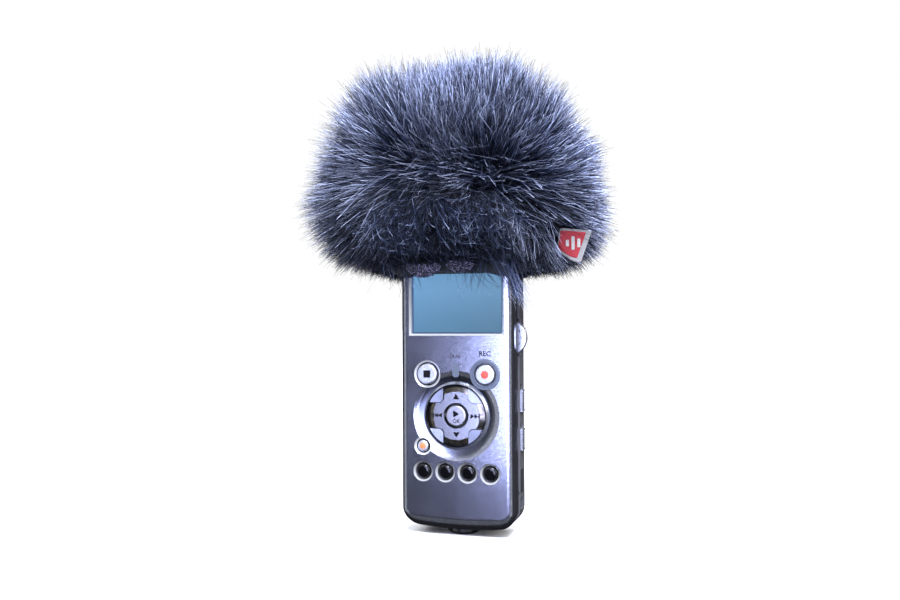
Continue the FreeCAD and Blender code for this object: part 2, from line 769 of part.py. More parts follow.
def jack(label, side, z):
    """A 3.5 mm phone socket: a block with a round nose that fills its hole in the band."""
    face = f"{side} * (case_width / 2 - 0.2)"
    nose = cylinder("jack_nose", "3", (f"{side} * (case_width / 2 - 3.2)", "port_y", z),
                    "x" if side > 0 else "-x")
    box = block(("jack_length - 1.6", "5.6", "5.8"),
                (f"{side} * (case_width / 2 - 1.8 - (jack_length - 1.6) / 2)", "port_y", z))
    bore = cylinder("jack_bore", "jack_length - 1", (face, "port_y", z), "-x" if side > 0 else "x")
    named(cut(fuse(nose, box), bore), label)


def usb():
    shell = block(("6.4", "3.6", "7.6"), ("19.1", "port_y", "usb_z"))
    mouth = block(("6.4", "2.8", "6.8"), ("19.9", "port_y", "usb_z"))
    tongue = block(("5", "0.8", "5.2"), ("18.6", "port_y", "usb_z"))
    named(fuse(cut(shell, mouth), tongue), "usb_port")


def flap(label, hinge, width, reach, turn, grip):
    """A cover that swings on two pins. Its own X is the hinge, and it reaches along its own Z."""
    plate = block((width, "flap_thick", f"({reach}) - flap_thick / 2"),
                  ("0", "0", f"(({reach}) - flap_thick / 2) / 2"))
    knuckle = cylinder("flap_thick / 2", width, (f"-({width}) / 2", "0", "0"), "x")
    pins = cylinder("0.35", f"{width} + 1.6", (f"-({width}) / 2 - 0.8", "0", "0"), "x")
    nick = block((f"({width}) * 0.4", "0.6", "0.9"), ("0", f"{grip} * flap_thick / 2", f"({reach}) - 1.8"))
    cover = cut(fuse(plate, knuckle, pins), nick)
    named(put(cover, hinge, turn), label)


def strap_bar():
    named(cylinder("0.75", "7", ("case_width / 2 - 1.8", "port_y", "lug_z - 3.5")), "strap_bar")


# ---------------------------------------------------------------- inside


def board():
    """The circuit board with its four screw holes, and the parts that stand on it."""
    middle = "(case_foot + case_head) / 2"
    plate = block(("41", "board_thick", "case_head - case_foot - 8"),
                  ("0", "board_front + board_thick / 2", middle))
    holes = [cylinder("1.6", "3", (x, "board_front - 1", z), "y") for x, z in SCREW_PLACES]
    named(cut(plate, *holes), "main_board")
    places = [("-key_spread", "key_row"), ("key_spread", "key_row"), ("function_x", "function_z"),
              ("0", "pad_z")]
    places += [(f"{place} * menu_pitch", "menu_row") for place in MENU_KEYS.values()]
    places += [(f"{x} * 6.9", f"pad_z + {z} * 6.9") for x, z in ((1, 0), (-1, 0), (0, 1), (0, -1))]
    switches = [cylinder("1.5", "0.5", (x, "board_front - 0.5", z), "y") for x, z in places]
    named(group(*switches), "tact_switches")
    chips = [block(("9", "1", "9"), ("-6", "board_front + board_thick + 0.5", "76.3")),
             block(("7", "1", "5"), ("6", "board_front + board_thick + 0.5", "74.3")),
             block(("5", "1.2", "4"), ("-2", "board_front + board_thick + 0.6", "103.3")),
             block(("4", "1.2", "4"), ("7", "board_front + board_thick + 0.6", "104.3")),
             cylinder("1.6", "2.2", ("12", "board_front + board_thick", "108.3"), "y"),
             cylinder("1.6", "2.2", ("-12", "board_front + board_thick", "108.3"), "y")]
    named(group(*chips), "board_components")


def memory_card():
    """A memory card lying behind the board in a C-shaped socket, with its end at the side cover."""
    y, z = "-5.55", CARD_COVER["z"]
    card = block(("32", "2.1", "24"), ("-6.6", y, z))
    corner = block(("4", "4", "4"), ("9.4", y, f"{z} + 12"))
    named(cut(card, corner), "memory_card")
    frame = block(("32", "2.1", "26.4"), ("-4.8", y, z))
    space = block(("33", "4", "24.3"), ("-7", y, z))
    named(cut(frame, space), "card_socket")


def battery_bay():
    """Two AA cells side by side in an open frame, staggered by the springs at their flat ends."""
    inside = "cell_length + spring_length + 1.8"
    middle = "bay_foot + (cell_length + spring_length + 1) / 2"
    frame = cut(block(("31", "13.6", f"{inside} + 1.2"), ("0", "cell_y - 0.1", middle)),
                block(("29.4", "16", inside), ("0", "cell_y", middle)))
    named(frame, "battery_tray")
    lane = "(cell_radius + 0.1)"
    cells = []
    for side in (-1, 1):
        foot = "bay_foot + spring_length" if side > 0 else "bay_foot + 1"
        nub = f"({foot}) + cell_length" if side > 0 else "bay_foot + 0.05"
        can = cylinder("cell_radius", "cell_length", (f"{side} * {lane}", "cell_y", foot))
        cells.append(fuse(can, cylinder("2.7", "0.95", (f"{side} * {lane}", "cell_y", nub))))
    named(group(*cells), "batteries")
    plates = [block(("26", "9", "0.3"), ("0", "cell_y", "bay_foot + cell_length + spring_length + 1.2")),
              block(("9", "9", "0.3"), (f"-{lane}", "cell_y", "bay_foot - 0.2")),
              block(("9", "9", "0.3"), (lane, "cell_y", "bay_foot - 0.2"))]
    named(group(*plates), "battery_contacts")
    coils = []
    for side in (-1, 1):
        foot = "bay_foot + 0.3" if side > 0 else "bay_foot + cell_length + 1.35"
        body = new_body("Coil", (f"{side} * {lane}", "cell_y", foot))
        sketch = new_sketch(body, "XZ_Plane")
        sketch.addGeometry(Part.Circle(Vector(2.6, 0, 0), Vector(0, 0, 1), 0.25), False)
        hold_point(sketch, 0, 3, "2.6", "0")
        sketch.addConstraint(Sketcher.Constraint("Radius", 0, 0.25))
        coil = body.newObject("PartDesign::AdditiveHelix", "Winding")
        coil.Profile = sketch
        coil.ReferenceAxis = (sketch, ["V_Axis"])
        coil.Mode = 0
        coil.Pitch = 0.9
        bind(coil, "Height", "spring_length - 0.7")
        body.Tip = coil
        coils.append(body)
    named(group(*coils), "battery_springs")


def latch():
    """The slider that frees the battery door, in its recess above the door."""
    z = "door_foot + door_height + 4.4"
    body = block(("10", "1", "4.8"), ("0", f"{BACK} - 0.4", z))
    ribs = [block(("8", "0.4", "0.5"), ("0", f"{BACK} + 0.1", f"{z} + {step} * 1.1")) for step in (-1, 0, 1)]
    named(cut(body, *ribs), "battery_latch")


def speaker():
    cup = cylinder("7.5", "3", ("0", f"{BACK} - back_wall - 3.2", "speaker_z"), "y")
    magnet = cylinder("4", "1.4", ("0", f"{BACK} - back_wall - 4.6", "speaker_z"), "y")
    named(fuse(cup, magnet), "speaker")


# ---------------------------------------------------------------- microphones


def leaning(shape, side):
    """Moves a piece made up its own +Z onto a microphone's axis, which leans 45 degrees outwards."""
    return put(shape, (f"{side} * mic_x", "0", "mic_z"),
               Rotation(Vector(0, 0, 1), Vector(side, 0, 1)))


def microphones():
    for side, word in ((-1, "left"), (1, "right")):
        tube = cut(cylinder("mic_radius", "mic_length", ("0", "0", "0")),
                   cylinder("mic_radius - 0.6", "mic_length", ("0", "0", "1")),
                   block(("14", "3", "2.6"), ("0", "0", "mic_length - 3.4")))
        named(leaning(tube, side), f"mic_housing_{word}")
        capsule = cylinder("mic_radius - 0.75", "3.4", ("0", "0", "1.1"))
        named(leaning(group(capsule), side), f"mic_capsule_{word}")
        holes = [cylinder("0.5", "3", ("0", "0", "mic_length - 2"))]
        for ring_radius, count in ((1.7, 6), (3.3, 12)):
            for i in range(count):
                angle = 2 * math.pi * i / count
                holes.append(cylinder("0.5", "3", (f"{ring_radius * math.cos(angle):.4f}",
                                                   f"{ring_radius * math.sin(angle):.4f}",
                                                   "mic_length - 2")))
        disc = cylinder("mic_radius - 0.65", "0.6", ("0", "0", "mic_length - 0.9"))
        named(leaning(cut(disc, *holes), side), f"mic_grille_{word}")
    saddle = block(("27", "13", "8"), ("0", "0", "case_head + 4"))
    beds = []
    for side in (-1, 1):
        beds.append(leaning(cylinder("mic_radius + 0.05", "mic_length", ("0", "0", "-0.05")), side))
    named(cut(saddle, *beds), "mic_bracket")


# ---------------------------------------------------------------- windshield


def soft_box(width, depth, height, foot, radius):
    """A box with every edge well rounded."""
    box = block((width, depth, height), ("0", "0", f"({foot}) + ({height}) / 2"))
    return rounded(box, radius, lambda e: True)


def fur_envelope():
    """A cushion with a domed top and a fuller, less rounded lower rim."""
    box = block(("fur_width", "fur_depth", "fur_height"), ("0", "0", "fur_foot + fur_height / 2"))
    upright = rounded(box, "fur_round", lambda e: runs_along(e, 2))
    foot, head = SIZES["fur_foot"], SIZES["fur_foot"] + SIZES["fur_height"]
    domed = rounded(upright, "fur_crown", lambda e: lies_at(e, 2, head))
    return rounded(domed, "fur_hem", lambda e: lies_at(e, 2, foot))


def collar(width, depth, height, radius):
    """A rounded block round the recorder's neck, at the windshield's mouth."""
    box = block((width, depth, height), ("0", "0", "liner_foot - 1"))
    return rounded(box, radius, lambda e: runs_along(e, 2))


def label_outline(thickness, margin, start):
    """The label's five-sided outline, enlarged by a margin, extruded towards its own -Y."""
    body = new_body("LabelOutline")
    sketch = new_sketch(body, "XZ_Plane", (0, 0, start))
    corners = [(-6.6, -2.8), (-1.0, -6.6), (2.4, -7.6), (7.0, 5.0), (-5.4, 6.2)]
    points = []
    for x, z in corners:
        grow = 1 + margin / 6
        points.append((f"{x * grow:.3f}", f"{z * grow:.3f}"))
    draw_polygon(sketch, points)
    body.Tip = pad(body, sketch, thickness)
    return body


def windshield():
    neck_width = "case_width + 2 * neck_gap"
    neck_depth = "case_depth + 2 * neck_gap"
    band_width = f"{neck_width} + 2 * hem_thick"
    band_depth = f"{neck_depth} + 2 * hem_thick"
    mouth = collar(f"{band_width} + 0.3", f"{band_depth} + 0.3", "14", "hem_round")
    liner_outer = soft_box("liner_width", "liner_depth", "liner_height", "liner_foot", "liner_round")
    liner_inner = rounded(block(("liner_width - 2 * liner_wall", "liner_depth - 2 * liner_wall",
                                 "liner_height - 2 * liner_wall"),
                                ("0", "0", "liner_foot + liner_height / 2")),
                          "liner_inside", lambda e: True)
    named(cut(liner_outer, liner_inner, mouth), "windshield_liner")
    core = soft_box("liner_width + 0.2", "liner_depth + 0.2", "liner_height + 0.2",
                    "liner_foot - 0.1", "liner_round")
    turn = Rotation(Vector(0, 0, 1), 12)
    place = ("49.2", "-14.5", "118.5")
    pocket_tool = put(group(label_outline("25", 0.4, "-0.6")), place, turn)
    named(cut(fur_envelope(), core, mouth, pocket_tool), "windshield_fur")
    elastic = put(cut(collar(band_width, band_depth, "hem_height", "hem_round"),
                      collar(neck_width, neck_depth, "hem_height + 2", "neck_round")),
                  ("0", "0", "hem_height / 2 + 1"))
    named(elastic, "windshield_elastic")
    named(put(group(label_outline("label_thick", 0, "0")), place, turn), "windshield_label")


front_shell()
side_band()
rear_shell()
tripod_bush()
screws()
display()
keys()
control_pad()
dial("record_level_dial", "record_level_pot", 1, "record_dial_z")
dial("volume_dial", "volume_pot", -1, "volume_dial_z")
slider("mic_sense_switch", 1, "mic_sense_z")
slider("low_cut_switch", 1, "low_cut_z")
slider("power_switch", -1, "power_z")
slider_bodies()
jack("ear_jack", -1, "ear_jack_z")
jack("mic_jack", -1, "mic_jack_z")
usb()
flap("usb_cover", USB_HINGE, USB_COVER["width"], USB_COVER["reach"], USB_TURN, 1)
flap("card_cover", CARD_HINGE, CARD_COVER["width"], CARD_COVER["reach"], CARD_TURN, 1)
flap("battery_door", DOOR_HINGE, "door_width", "door_height", None, 1)
strap_bar()
board()
memory_card()
battery_bay()
latch()
speaker()
microphones()
windshield()
doc.recompute()

failed = [f"{o.Label} for {[p.Label for p in o.InList]}" for o in doc.Objects
          if {"Invalid", "Error"} & set(o.State)]
if failed:
    raise SystemExit(f"these objects failed: {failed}")

os.makedirs("parts", exist_ok=True)
for old in os.listdir("parts"):
    os.remove(os.path.join("parts", old))
for part in PARTS:
    shape = part.Shape
    if shape.isNull() or not shape.isValid() or not shape.Solids:
        raise SystemExit(f"{part.Label} has no valid solid")
    shape.exportStep(f"parts/{part.Label}.step")
    box = shape.BoundBox
    print(f"{part.Label:22s} {len(shape.Solids):3d} solids {shape.Volume:10.2f} mm3  "
          f"x {box.XMin:.2f}..{box.XMax:.2f}  y {box.YMin:.2f}..{box.YMax:.2f}  "
          f"z {box.ZMin:.2f}..{box.ZMax:.2f}")
print(len(PARTS), "sub-parts")
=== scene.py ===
from functools import cached_property
from math import cos, pi, radians, sin, tau

import bmesh
import bpy
import numpy as np
from mathutils import Matrix, Vector


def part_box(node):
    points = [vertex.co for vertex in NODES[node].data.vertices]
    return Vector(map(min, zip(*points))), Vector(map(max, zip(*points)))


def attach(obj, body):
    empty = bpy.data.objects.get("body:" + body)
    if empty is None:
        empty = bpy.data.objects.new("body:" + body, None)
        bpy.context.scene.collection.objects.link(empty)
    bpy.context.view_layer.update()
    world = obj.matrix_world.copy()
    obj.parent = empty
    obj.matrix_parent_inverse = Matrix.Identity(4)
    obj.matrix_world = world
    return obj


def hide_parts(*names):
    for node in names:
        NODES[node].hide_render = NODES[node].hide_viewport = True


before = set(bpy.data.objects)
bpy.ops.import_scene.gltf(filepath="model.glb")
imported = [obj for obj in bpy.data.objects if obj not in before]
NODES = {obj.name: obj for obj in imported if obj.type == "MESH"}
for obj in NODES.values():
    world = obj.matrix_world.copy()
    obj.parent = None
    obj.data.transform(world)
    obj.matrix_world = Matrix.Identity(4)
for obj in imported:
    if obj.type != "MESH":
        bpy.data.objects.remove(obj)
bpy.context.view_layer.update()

MM = 0.001
SEED = 20240611
SCENE = bpy.context.scene


def centre(node):
    low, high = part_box(node)
    return [(a + b) / 2 for a, b in zip(low, high)]


FACE_Y = -0.0112
SMALL_KEYS = "list_button erase_button repeat_button menu_button"
# radii in millimetres of the bevels round the keys, painted pale as painted highlight, and of the gaps inside
# them, painted dark as painted shadow
RECESSES = {"stop_button": 5.72, "function_button": 3.82, **dict.fromkeys(SMALL_KEYS.split(), 4.32)}
SHADOW_GAPS = {"stop_button": 4.85, "function_button": 2.95, **dict.fromkeys(SMALL_KEYS.split(), 3.5)}
PAD = centre("pad_bezel")

# ---- materials


class Nodes:
    """Short ways to add nodes to a node tree."""

    def __init__(self, nt):
        self.nt = nt

    def feed(self, target, value):
        """Links an input to a socket, or sets it to a constant."""
        if isinstance(value, bpy.types.NodeSocket):
            self.nt.links.new(value, target)
        else:
            target.default_value = value

    def node(self, kind, inputs=None, out=0, **props):
        made = self.nt.nodes.new(kind)
        for key, value in props.items():
            setattr(made, key, value)
        for key, value in (inputs or {}).items():
            self.feed(made.inputs[key], value)
        return made.outputs[out]

    def calc(self, operation, a, b=0.0):
        return self.node("ShaderNodeMath", {0: a, 1: b}, operation=operation)

    def times(self, a, b):
        return self.calc("MULTIPLY", a, b)

    def minus(self, a, b):
        return self.calc("SUBTRACT", a, b)

    def ramp(self, value, *stops):
        """Colours along a value, as (position, colour) stops."""
        made = self.nt.nodes.new("ShaderNodeValToRGB")
        self.feed(made.inputs[0], value)
        elements = made.color_ramp.elements
        while len(elements) < len(stops):
            elements.new(0.5)
        for element, (position, colour) in zip(elements, stops):
            element.position = position
            element.color = (*colour, 1.0)
        return made.outputs[0]

    def span(self, value, low, high, to_low=0.0, to_high=1.0):
        return self.node("ShaderNodeMapRange",
                         {"Value": value, "From Min": low, "From Max": high, "To Min": to_low, "To Max": to_high})

    def mix(self, share, *colours):
        inputs = {0: share}
        for key, colour in zip((6, 7), colours):
            inputs[key] = colour if isinstance(colour, bpy.types.NodeSocket) else (*colour, 1.0)
        return self.node("ShaderNodeMix", inputs, out=2, data_type="RGBA")


class Tree(Nodes):
    """A material with one Principled surface."""

    def __init__(self, name, roughness=0.5, metallic=0.0, **constants):
        self.mat = bpy.data.materials.new(name)
        self.mat.use_nodes = True
        super().__init__(self.mat.node_tree)
        self.surface = self.nt.nodes["Principled BSDF"]
        self.set("Roughness", roughness)
        self.set("Metallic", metallic)
        for socket, value in constants.items():
            self.set(socket.replace("_", " "), value)

    def set(self, socket, value):
        self.feed(self.surface.inputs[socket], value)

    def paint(self, value):
        self.set("Base Color", value)

    @cached_property
    def place(self):
        """The object's own coordinates, in metres."""
        return self.node("ShaderNodeTexCoord", out="Object")

    def axis(self, name):
        return self.node("ShaderNodeSeparateXYZ", {0: self.place}, out=name)

    def stretched(self, scale):
        return self.node("ShaderNodeVectorMath", {0: self.place, 1: scale}, operation="MULTIPLY")

    def noise(self, size, detail=3.0, stretch=None, rough=0.5):
        """Noise whose features are about size millimetres across."""
        return self.node("ShaderNodeTexNoise", {"Vector": self.stretched(stretch) if stretch else self.place,
                                                "Scale": 1000.0 / size, "Detail": detail, "Roughness": rough})

    def ripple(self, value, pitch):
        """A sine along a value, with waves one pitch apart."""
        return self.calc("SINE", self.times(value, tau / pitch))

    def two_tone(self, value, dark, pale):
        """Two colours over the middle of a noise."""
        return self.ramp(value, (0.3, dark), (0.7, pale))

    def polish(self, value, low, high):
        """Roughness that follows a noise."""
        self.set("Roughness", self.span(value, 0.3, 0.7, low, high))

    def bump(self, height, depth, strength=1.0, **under):
        """A bump whose height runs over depth millimetres."""
        inputs = {"Height": height, "Distance": depth * MM, "Strength": strength, **under}
        made = self.node("ShaderNodeBump", inputs)
        self.set("Normal", made)
        return made

    def distance_from(self, place):
        """Distance in millimetres from the axis along Y through a place in metres."""
        x, _, z = place
        across, up = self.minus(self.axis("X"), x), self.minus(self.axis("Z"), z)
        squared = self.calc("ADD", self.times(across, across), self.times(up, up))
        return self.times(self.calc("SQRT", squared), 1000.0)


def shade(colour, by):
    return tuple(c * by for c in colour)


def grained(name, colour, grain=0.4, spread=0.12, roughness=0.5, metallic=0.0, depth=0.02, **constants):
    """Moulded or cast stuff: fine grain in the surface, with slow drifts of colour and polish."""
    t = Tree(name, roughness, metallic, **constants)
    drift, fine = t.noise(9.0, 2.0), t.noise(grain, 4.0)
    value = t.node("ShaderNodeSeparateColor", {0: t.mix(0.5, drift, fine)})
    t.paint(t.two_tone(value, shade(colour, 1 - spread), shade(colour, 1 + spread)))
    t.polish(drift, roughness - 0.05, roughness + 0.06)
    t.bump(fine, depth, 0.6)
    return t.mat


def deepest_in(t, radii):
    """How far inside the nearest of some circles round the keys a place is, in millimetres."""
    deepest = None
    for node, reach in radii.items():
        inside = t.minus(reach, t.distance_from(centre(node)))
        deepest = inside if deepest is None else t.calc("MAXIMUM", deepest, inside)
    return deepest


def cut_edges(t):
    """Where the keys' recesses are, and where the bevel round the display is."""
    low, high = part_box("display_window")
    edges = (t.minus(high[0] + 1.1 * MM, t.calc("ABSOLUTE", t.axis("X"))),
             t.minus(t.axis("Z"), low[2] - 1.1 * MM))
    bevel = t.times(t.calc("MINIMUM", *edges), 1000.0)
    below = t.times(t.minus(t.axis("Y"), FACE_Y), 1000.0)
    sunk = t.span(below, 0.03, 0.12)
    return [t.times(t.span(inside, 0.0, 0.08), sunk) for inside in (deepest_in(t, RECESSES), bevel)]


def silver_paint():
    """Metallic paint in flakes of two sizes, with painted highlight on its bevels and painted shade round the keys
    and the pad.
    """
    t = Tree("silver_paint", 0.2, 0.96)
    cells = t.node("ShaderNodeTexVoronoi", {"Vector": t.place, "Scale": 1000.0 / 0.42}, out="Color")
    spark = t.node("ShaderNodeSeparateColor", {0: cells})
    fine = t.noise(0.55, 5.0, rough=0.7)
    drift = t.noise(14.0, 2.0)
    base = t.ramp(spark, (0.0, (0.25, 0.255, 0.31)), (0.80, (0.34, 0.35, 0.42)), (1.0, (0.50, 0.52, 0.62)))
    base = t.mix(0.35, base, t.ramp(fine, (0.35, (0.18, 0.19, 0.24)), (0.65, (0.47, 0.49, 0.58))))
    recess, bevel = cut_edges(t)
    # painted shade: the dish round the pad is painted darker, more towards its top than its foot
    dish = t.span(t.distance_from(PAD), 16.6, 16.2)
    dish_shade = t.span(t.axis("Z"), PAD[2] - 12 * MM, PAD[2] + 3 * MM, 0.40, 0.90)
    base = t.mix(t.times(dish, dish_shade), base, (0.065, 0.07, 0.09))
    # painted highlight: the bevels of the key recesses and of the display are painted pale and made less metallic
    base = t.mix(recess, base, (0.80, 0.81, 0.84))
    gap = t.times(recess, t.span(deepest_in(t, SHADOW_GAPS), -0.05, 0.05))
    base = t.mix(gap, base, (0.004, 0.004, 0.005))
    t.paint(t.mix(bevel, base, (0.92, 0.93, 0.98)))
    t.set("Metallic", t.calc("MINIMUM", t.span(bevel, 0.0, 1.0, 0.96, 0.15), t.span(recess, 0.0, 1.0, 0.96, 0.45)))
    t.polish(drift, 0.17, 0.20)
    t.bump(fine, 0.0012, 0.5)
    return t.mat


def satin_key(name, colour=(0.60, 0.62, 0.68), caps=None):
    """Plated caps with a fine haze. Past the radii in caps the flange is painted black, as painted shadow in the
    gap round the key.
    """
    t = Tree(name, 0.3, 0.9)
    fine = t.noise(0.25, 4.0)
    drift = t.noise(3.0, 2.0)
    base = t.two_tone(drift, shade(colour, 0.9), shade(colour, 1.08))
    if caps:
        # painted shadow: past the cap the flange is painted black and not metallic
        cap = t.span(deepest_in(t, caps), -0.12, -0.04)
        base = t.mix(cap, (0.006, 0.006, 0.008), base)
        t.set("Metallic", t.span(cap, 0.0, 1.0, 0.0, 0.85))
    t.paint(base)
    t.polish(fine, 0.24, 0.34)
    t.bump(fine, 0.004, 0.4)
    return t.mat


def bezel_metal():
    """A plated ring whose inner wall is painted near black, as painted shadow in the gap round the rocker."""
    t = Tree("bezel_metal", 0.26, 0.9)
    low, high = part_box("pad_bezel")
    radius = t.distance_from(PAD)
    rim = (high[0] - low[0]) * 500
    plated = t.span(radius, rim - 1.0, rim - 0.8)
    drift = t.noise(3.0, 2.0)
    base = t.two_tone(drift, (0.50, 0.52, 0.57), (0.62, 0.64, 0.70))
    # painted shadow on the inner part of the ring
    t.paint(t.mix(plated, (0.008, 0.008, 0.012), base))
    t.bump(t.noise(0.25, 4.0), 0.004, 0.4)
    return t.mat


def grooved_plate():
    """The fixed corners of the pad, turned with fine rings about its middle."""
    t = Tree("grooved_plate", 0.28, 0.95)
    radius = t.distance_from(PAD)
    wave = t.ripple(radius, 0.55)
    drift = t.noise(2.2)
    t.paint(t.mix(t.span(wave, -1, 1), (0.18, 0.19, 0.24), (0.40, 0.42, 0.50)))
    t.polish(drift, 0.26, 0.38)
    t.bump(wave, 0.02, 0.6)
    return t.mat


def rocker_metal():
    """Satin arms whose sloped ends are smoked and bright."""
    t = Tree("rocker_metal", 0.3, 0.9)
    radius = t.distance_from(PAD)
    slope = t.span(radius, 9.75, 9.95)
    fine = t.noise(0.3, 4.0)
    satin = t.two_tone(fine, (0.30, 0.31, 0.37), (0.50, 0.51, 0.58))
    smoked = t.two_tone(t.noise(1.8, 2.0), (0.045, 0.042, 0.038), (0.19, 0.17, 0.145))
    t.paint(t.mix(slope, satin, smoked))
    t.set("Roughness", t.span(slope, 0.0, 1.0, 0.23, 0.13))
    t.bump(fine, 0.008, 0.5)
    return t.mat


def wheel_metal():
    """Turned metal: two tones in slow drifts, with a fine grain in its polish and surface."""
    t = Tree("wheel_metal", 0.3, 0.85)
    fine = t.noise(0.2, 4.0)
    drift = t.noise(2.0)
    t.paint(t.two_tone(drift, (0.42, 0.43, 0.47), (0.60, 0.61, 0.65)))
    t.polish(fine, 0.24, 0.4)
    t.bump(fine, 0.008, 0.5)
    return t.mat


def gloss_black():
    """Polished black keys with the odd fine scuff."""
    t = Tree("gloss_black", 0.09, Specular_IOR_Level=0.3)
    smear = t.noise(1.6, 5.0, rough=0.7)
    t.paint(t.ramp(smear, (0.35, (0.002, 0.002, 0.003)), (0.75, (0.006, 0.006, 0.009))))
    t.set("Roughness", t.span(smear, 0.35, 0.8, 0.05, 0.12))
    t.bump(t.noise(0.5), 0.003, 0.3)
    return t.mat


def frosted_lens():
    """A frosted light guide, paler where it is thin at its rims."""
    t = Tree("frosted_lens", 0.32, Coat_Weight=0.4, Coat_Roughness=0.12, IOR=1.49)
    haze = t.noise(0.9, 4.0)
    edge = t.span(t.distance_from(centre("record_light_ring")), 5.0, 6.2)
    body = t.two_tone(haze, (0.030, 0.043, 0.076), (0.060, 0.078, 0.122))
    t.paint(t.mix(t.times(edge, 0.55), body, (0.15, 0.19, 0.27)))
    t.bump(haze, 0.01, 0.4)
    return t.mat


def window_glass():
    """Clear hard-coated plastic with a trace of haze."""
    t = Tree("window_glass", 0.06, IOR=1.45, Alpha=0.09)
    smear = t.noise(7.0, 4.0, stretch=(1.0, 1.0, 0.5))
    t.paint(t.two_tone(smear, (0.22, 0.27, 0.31), (0.27, 0.31, 0.34)))
    t.set("Roughness", t.span(smear, 0.3, 0.75, 0.04, 0.12))
    return t.mat


def lcd_panel():
    """A pale blue panel with its pixel grid, darker at the edge of its active area, glowing in its own colour,
    with painted light and shade across it.
    """
    t = Tree("lcd_panel", 0.35, Specular_IOR_Level=0.10)
    low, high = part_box("display_window")
    across, up = t.axis("X"), t.axis("Z")
    grid = t.calc("MAXIMUM", t.ripple(across, 0.3 * MM), t.ripple(up, 0.3 * MM))
    drift = t.noise(16.0, 2.0)
    # painted light and shade: the panel is paler towards its top left and darker towards its foot and its right
    share = t.span(across, low[0], high[0])
    top = t.ramp(share, (0.0, (0.180, 0.405, 0.70)), (1.0, (0.150, 0.325, 0.53)))
    foot = t.ramp(share, (0.0, (0.085, 0.240, 0.42)), (1.0, (0.055, 0.160, 0.265)))
    pale = t.mix(t.span(up, low[2], low[2] + 17 * MM), foot, top)
    pale = t.mix(t.span(drift, 0.3, 0.7, 0.0, 0.08), pale, (0.20, 0.40, 0.60))
    pale = t.mix(t.span(grid, 0.97, 1.0, 0.0, 0.12), pale, (0.05, 0.12, 0.25))
    inside = t.calc("MINIMUM",
                   t.minus(high[0] - 0.55 * MM, t.calc("ABSOLUTE", across)),
                   t.minus(up, low[2] + 0.55 * MM))
    rim = t.span(inside, -0.25 * MM, 0.0, 1.0, 0.0)
    colour = t.mix(t.times(rim, 0.85), pale, (0.035, 0.05, 0.16))
    t.paint(t.node("ShaderNodeVectorMath", {0: colour, 3: 0.12}, operation="SCALE"))
    t.set("Emission Color", colour)
    t.set("Emission Strength", 1.03)
    return t.mat


def brushed(name, colour, roughness=0.3, along=(1.0, 1.0, 0.08), size=0.5):
    """Metal with fine scratches, drawn out along Z unless along says otherwise."""
    t = Tree(name, roughness, 0.95)
    lines = t.noise(size, 4.0, stretch=along)
    t.paint(t.two_tone(lines, shade(colour, 0.82), shade(colour, 1.12)))
    t.polish(lines, roughness - 0.07, roughness + 0.1)
    t.bump(lines, 0.01, 0.5)
    return t.mat


def board_green():
    """Solder mask over faint copper tracks, painted black under the pad as painted shade."""
    t = Tree("board_green", 0.3, Coat_Weight=0.3)
    tracks = t.node("ShaderNodeTexBrick",
                    {"Vector": t.stretched((1.0, 0.0, 1.0)),
                     "Scale": 420.0, "Color1": (0.01, 0.12, 0.05, 1), "Color2": (0.015, 0.16, 0.07, 1),
                     "Mortar": (0.05, 0.26, 0.11, 1), "Mortar Size": 0.03})
    # painted shade: the board is painted black under the pad
    shade_under_pad = t.span(t.distance_from(PAD), 9.5, 9.8, 1.0, 0.0)
    t.paint(t.mix(shade_under_pad, tracks, (0.006, 0.006, 0.007)))
    t.bump(t.noise(0.8), 0.02, 0.5)
    return t.mat


def cell_sleeve():
    """A printed sleeve: a dark body with a copper-coloured shoulder, over a bare metal end."""
    low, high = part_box("batteries")
    t = Tree("cell_sleeve", 0.28, 0.6, Coat_Weight=0.4)
    up = t.span(t.axis("Z"), low[2], high[2])
    band = t.ramp(up, (0.0, (0.55, 0.55, 0.56)), (0.03, (0.04, 0.05, 0.07)), (0.68, (0.05, 0.06, 0.08)),
                  (0.70, (0.50, 0.22, 0.09)), (0.96, (0.55, 0.25, 0.10)), (0.97, (0.6, 0.6, 0.6)))
    t.paint(t.mix(t.span(t.noise(3.0), 0.3, 0.7, 0.0, 0.12), band, (0.3, 0.3, 0.32)))
    t.polish(t.noise(0.8), 0.22, 0.34)
    return t.mat


def knitted(name, colour, pitch=0.9, depth=0.25, pale=None, sheen=0.4):
    """Knit: rows of small loops with fibres standing off, and a pale thread here and there."""
    t = Tree(name, 0.85, Sheen_Weight=sheen, Sheen_Roughness=0.4)
    wave = t.times(t.ripple(t.calc("ADD", t.axis("X"), t.axis("Y")), pitch * MM),
                 t.ripple(t.axis("Z"), pitch * MM))
    fuzz = t.noise(0.3, 4.0)
    base = t.mix(t.span(wave, -1, 1), shade(colour, 0.4), t.two_tone(fuzz, shade(colour, 0.8), shade(colour, 1.5)))
    if pale:
        base = t.mix(t.times(t.span(fuzz, 0.50, 0.60), t.span(wave, -0.1, 0.5)), base, pale)
    t.paint(base)
    under = t.bump(wave, depth, 0.8)
    t.bump(fuzz, 0.05, 0.5, Normal=under)
    return t.mat


def fibre(name, roots, middle, tips):
    """Pile: each hair runs from dark at its root to pale at its tip, and no two are quite alike."""
    t = Tree(name, 0.42, Specular_IOR_Level=0.10)
    tone = t.node("ShaderNodeAttribute", out="Color", attribute_name="tone")
    along, own, lock = list(t.node("ShaderNodeSeparateColor", {0: tone}).node.outputs)[:3]
    colour = t.ramp(along, (0.0, roots), (0.40, shade(middle, 0.45)), (0.70, middle), (0.96, tips))
    gain = t.times(t.span(t.calc("POWER", own, 2.6), 0, 1, 0.045, 3.2), t.span(lock, 0, 1, 0.40, 1.35))
    t.paint(t.node("ShaderNodeVectorMath", {0: colour, 3: gain}, operation="SCALE"))
    return t.mat


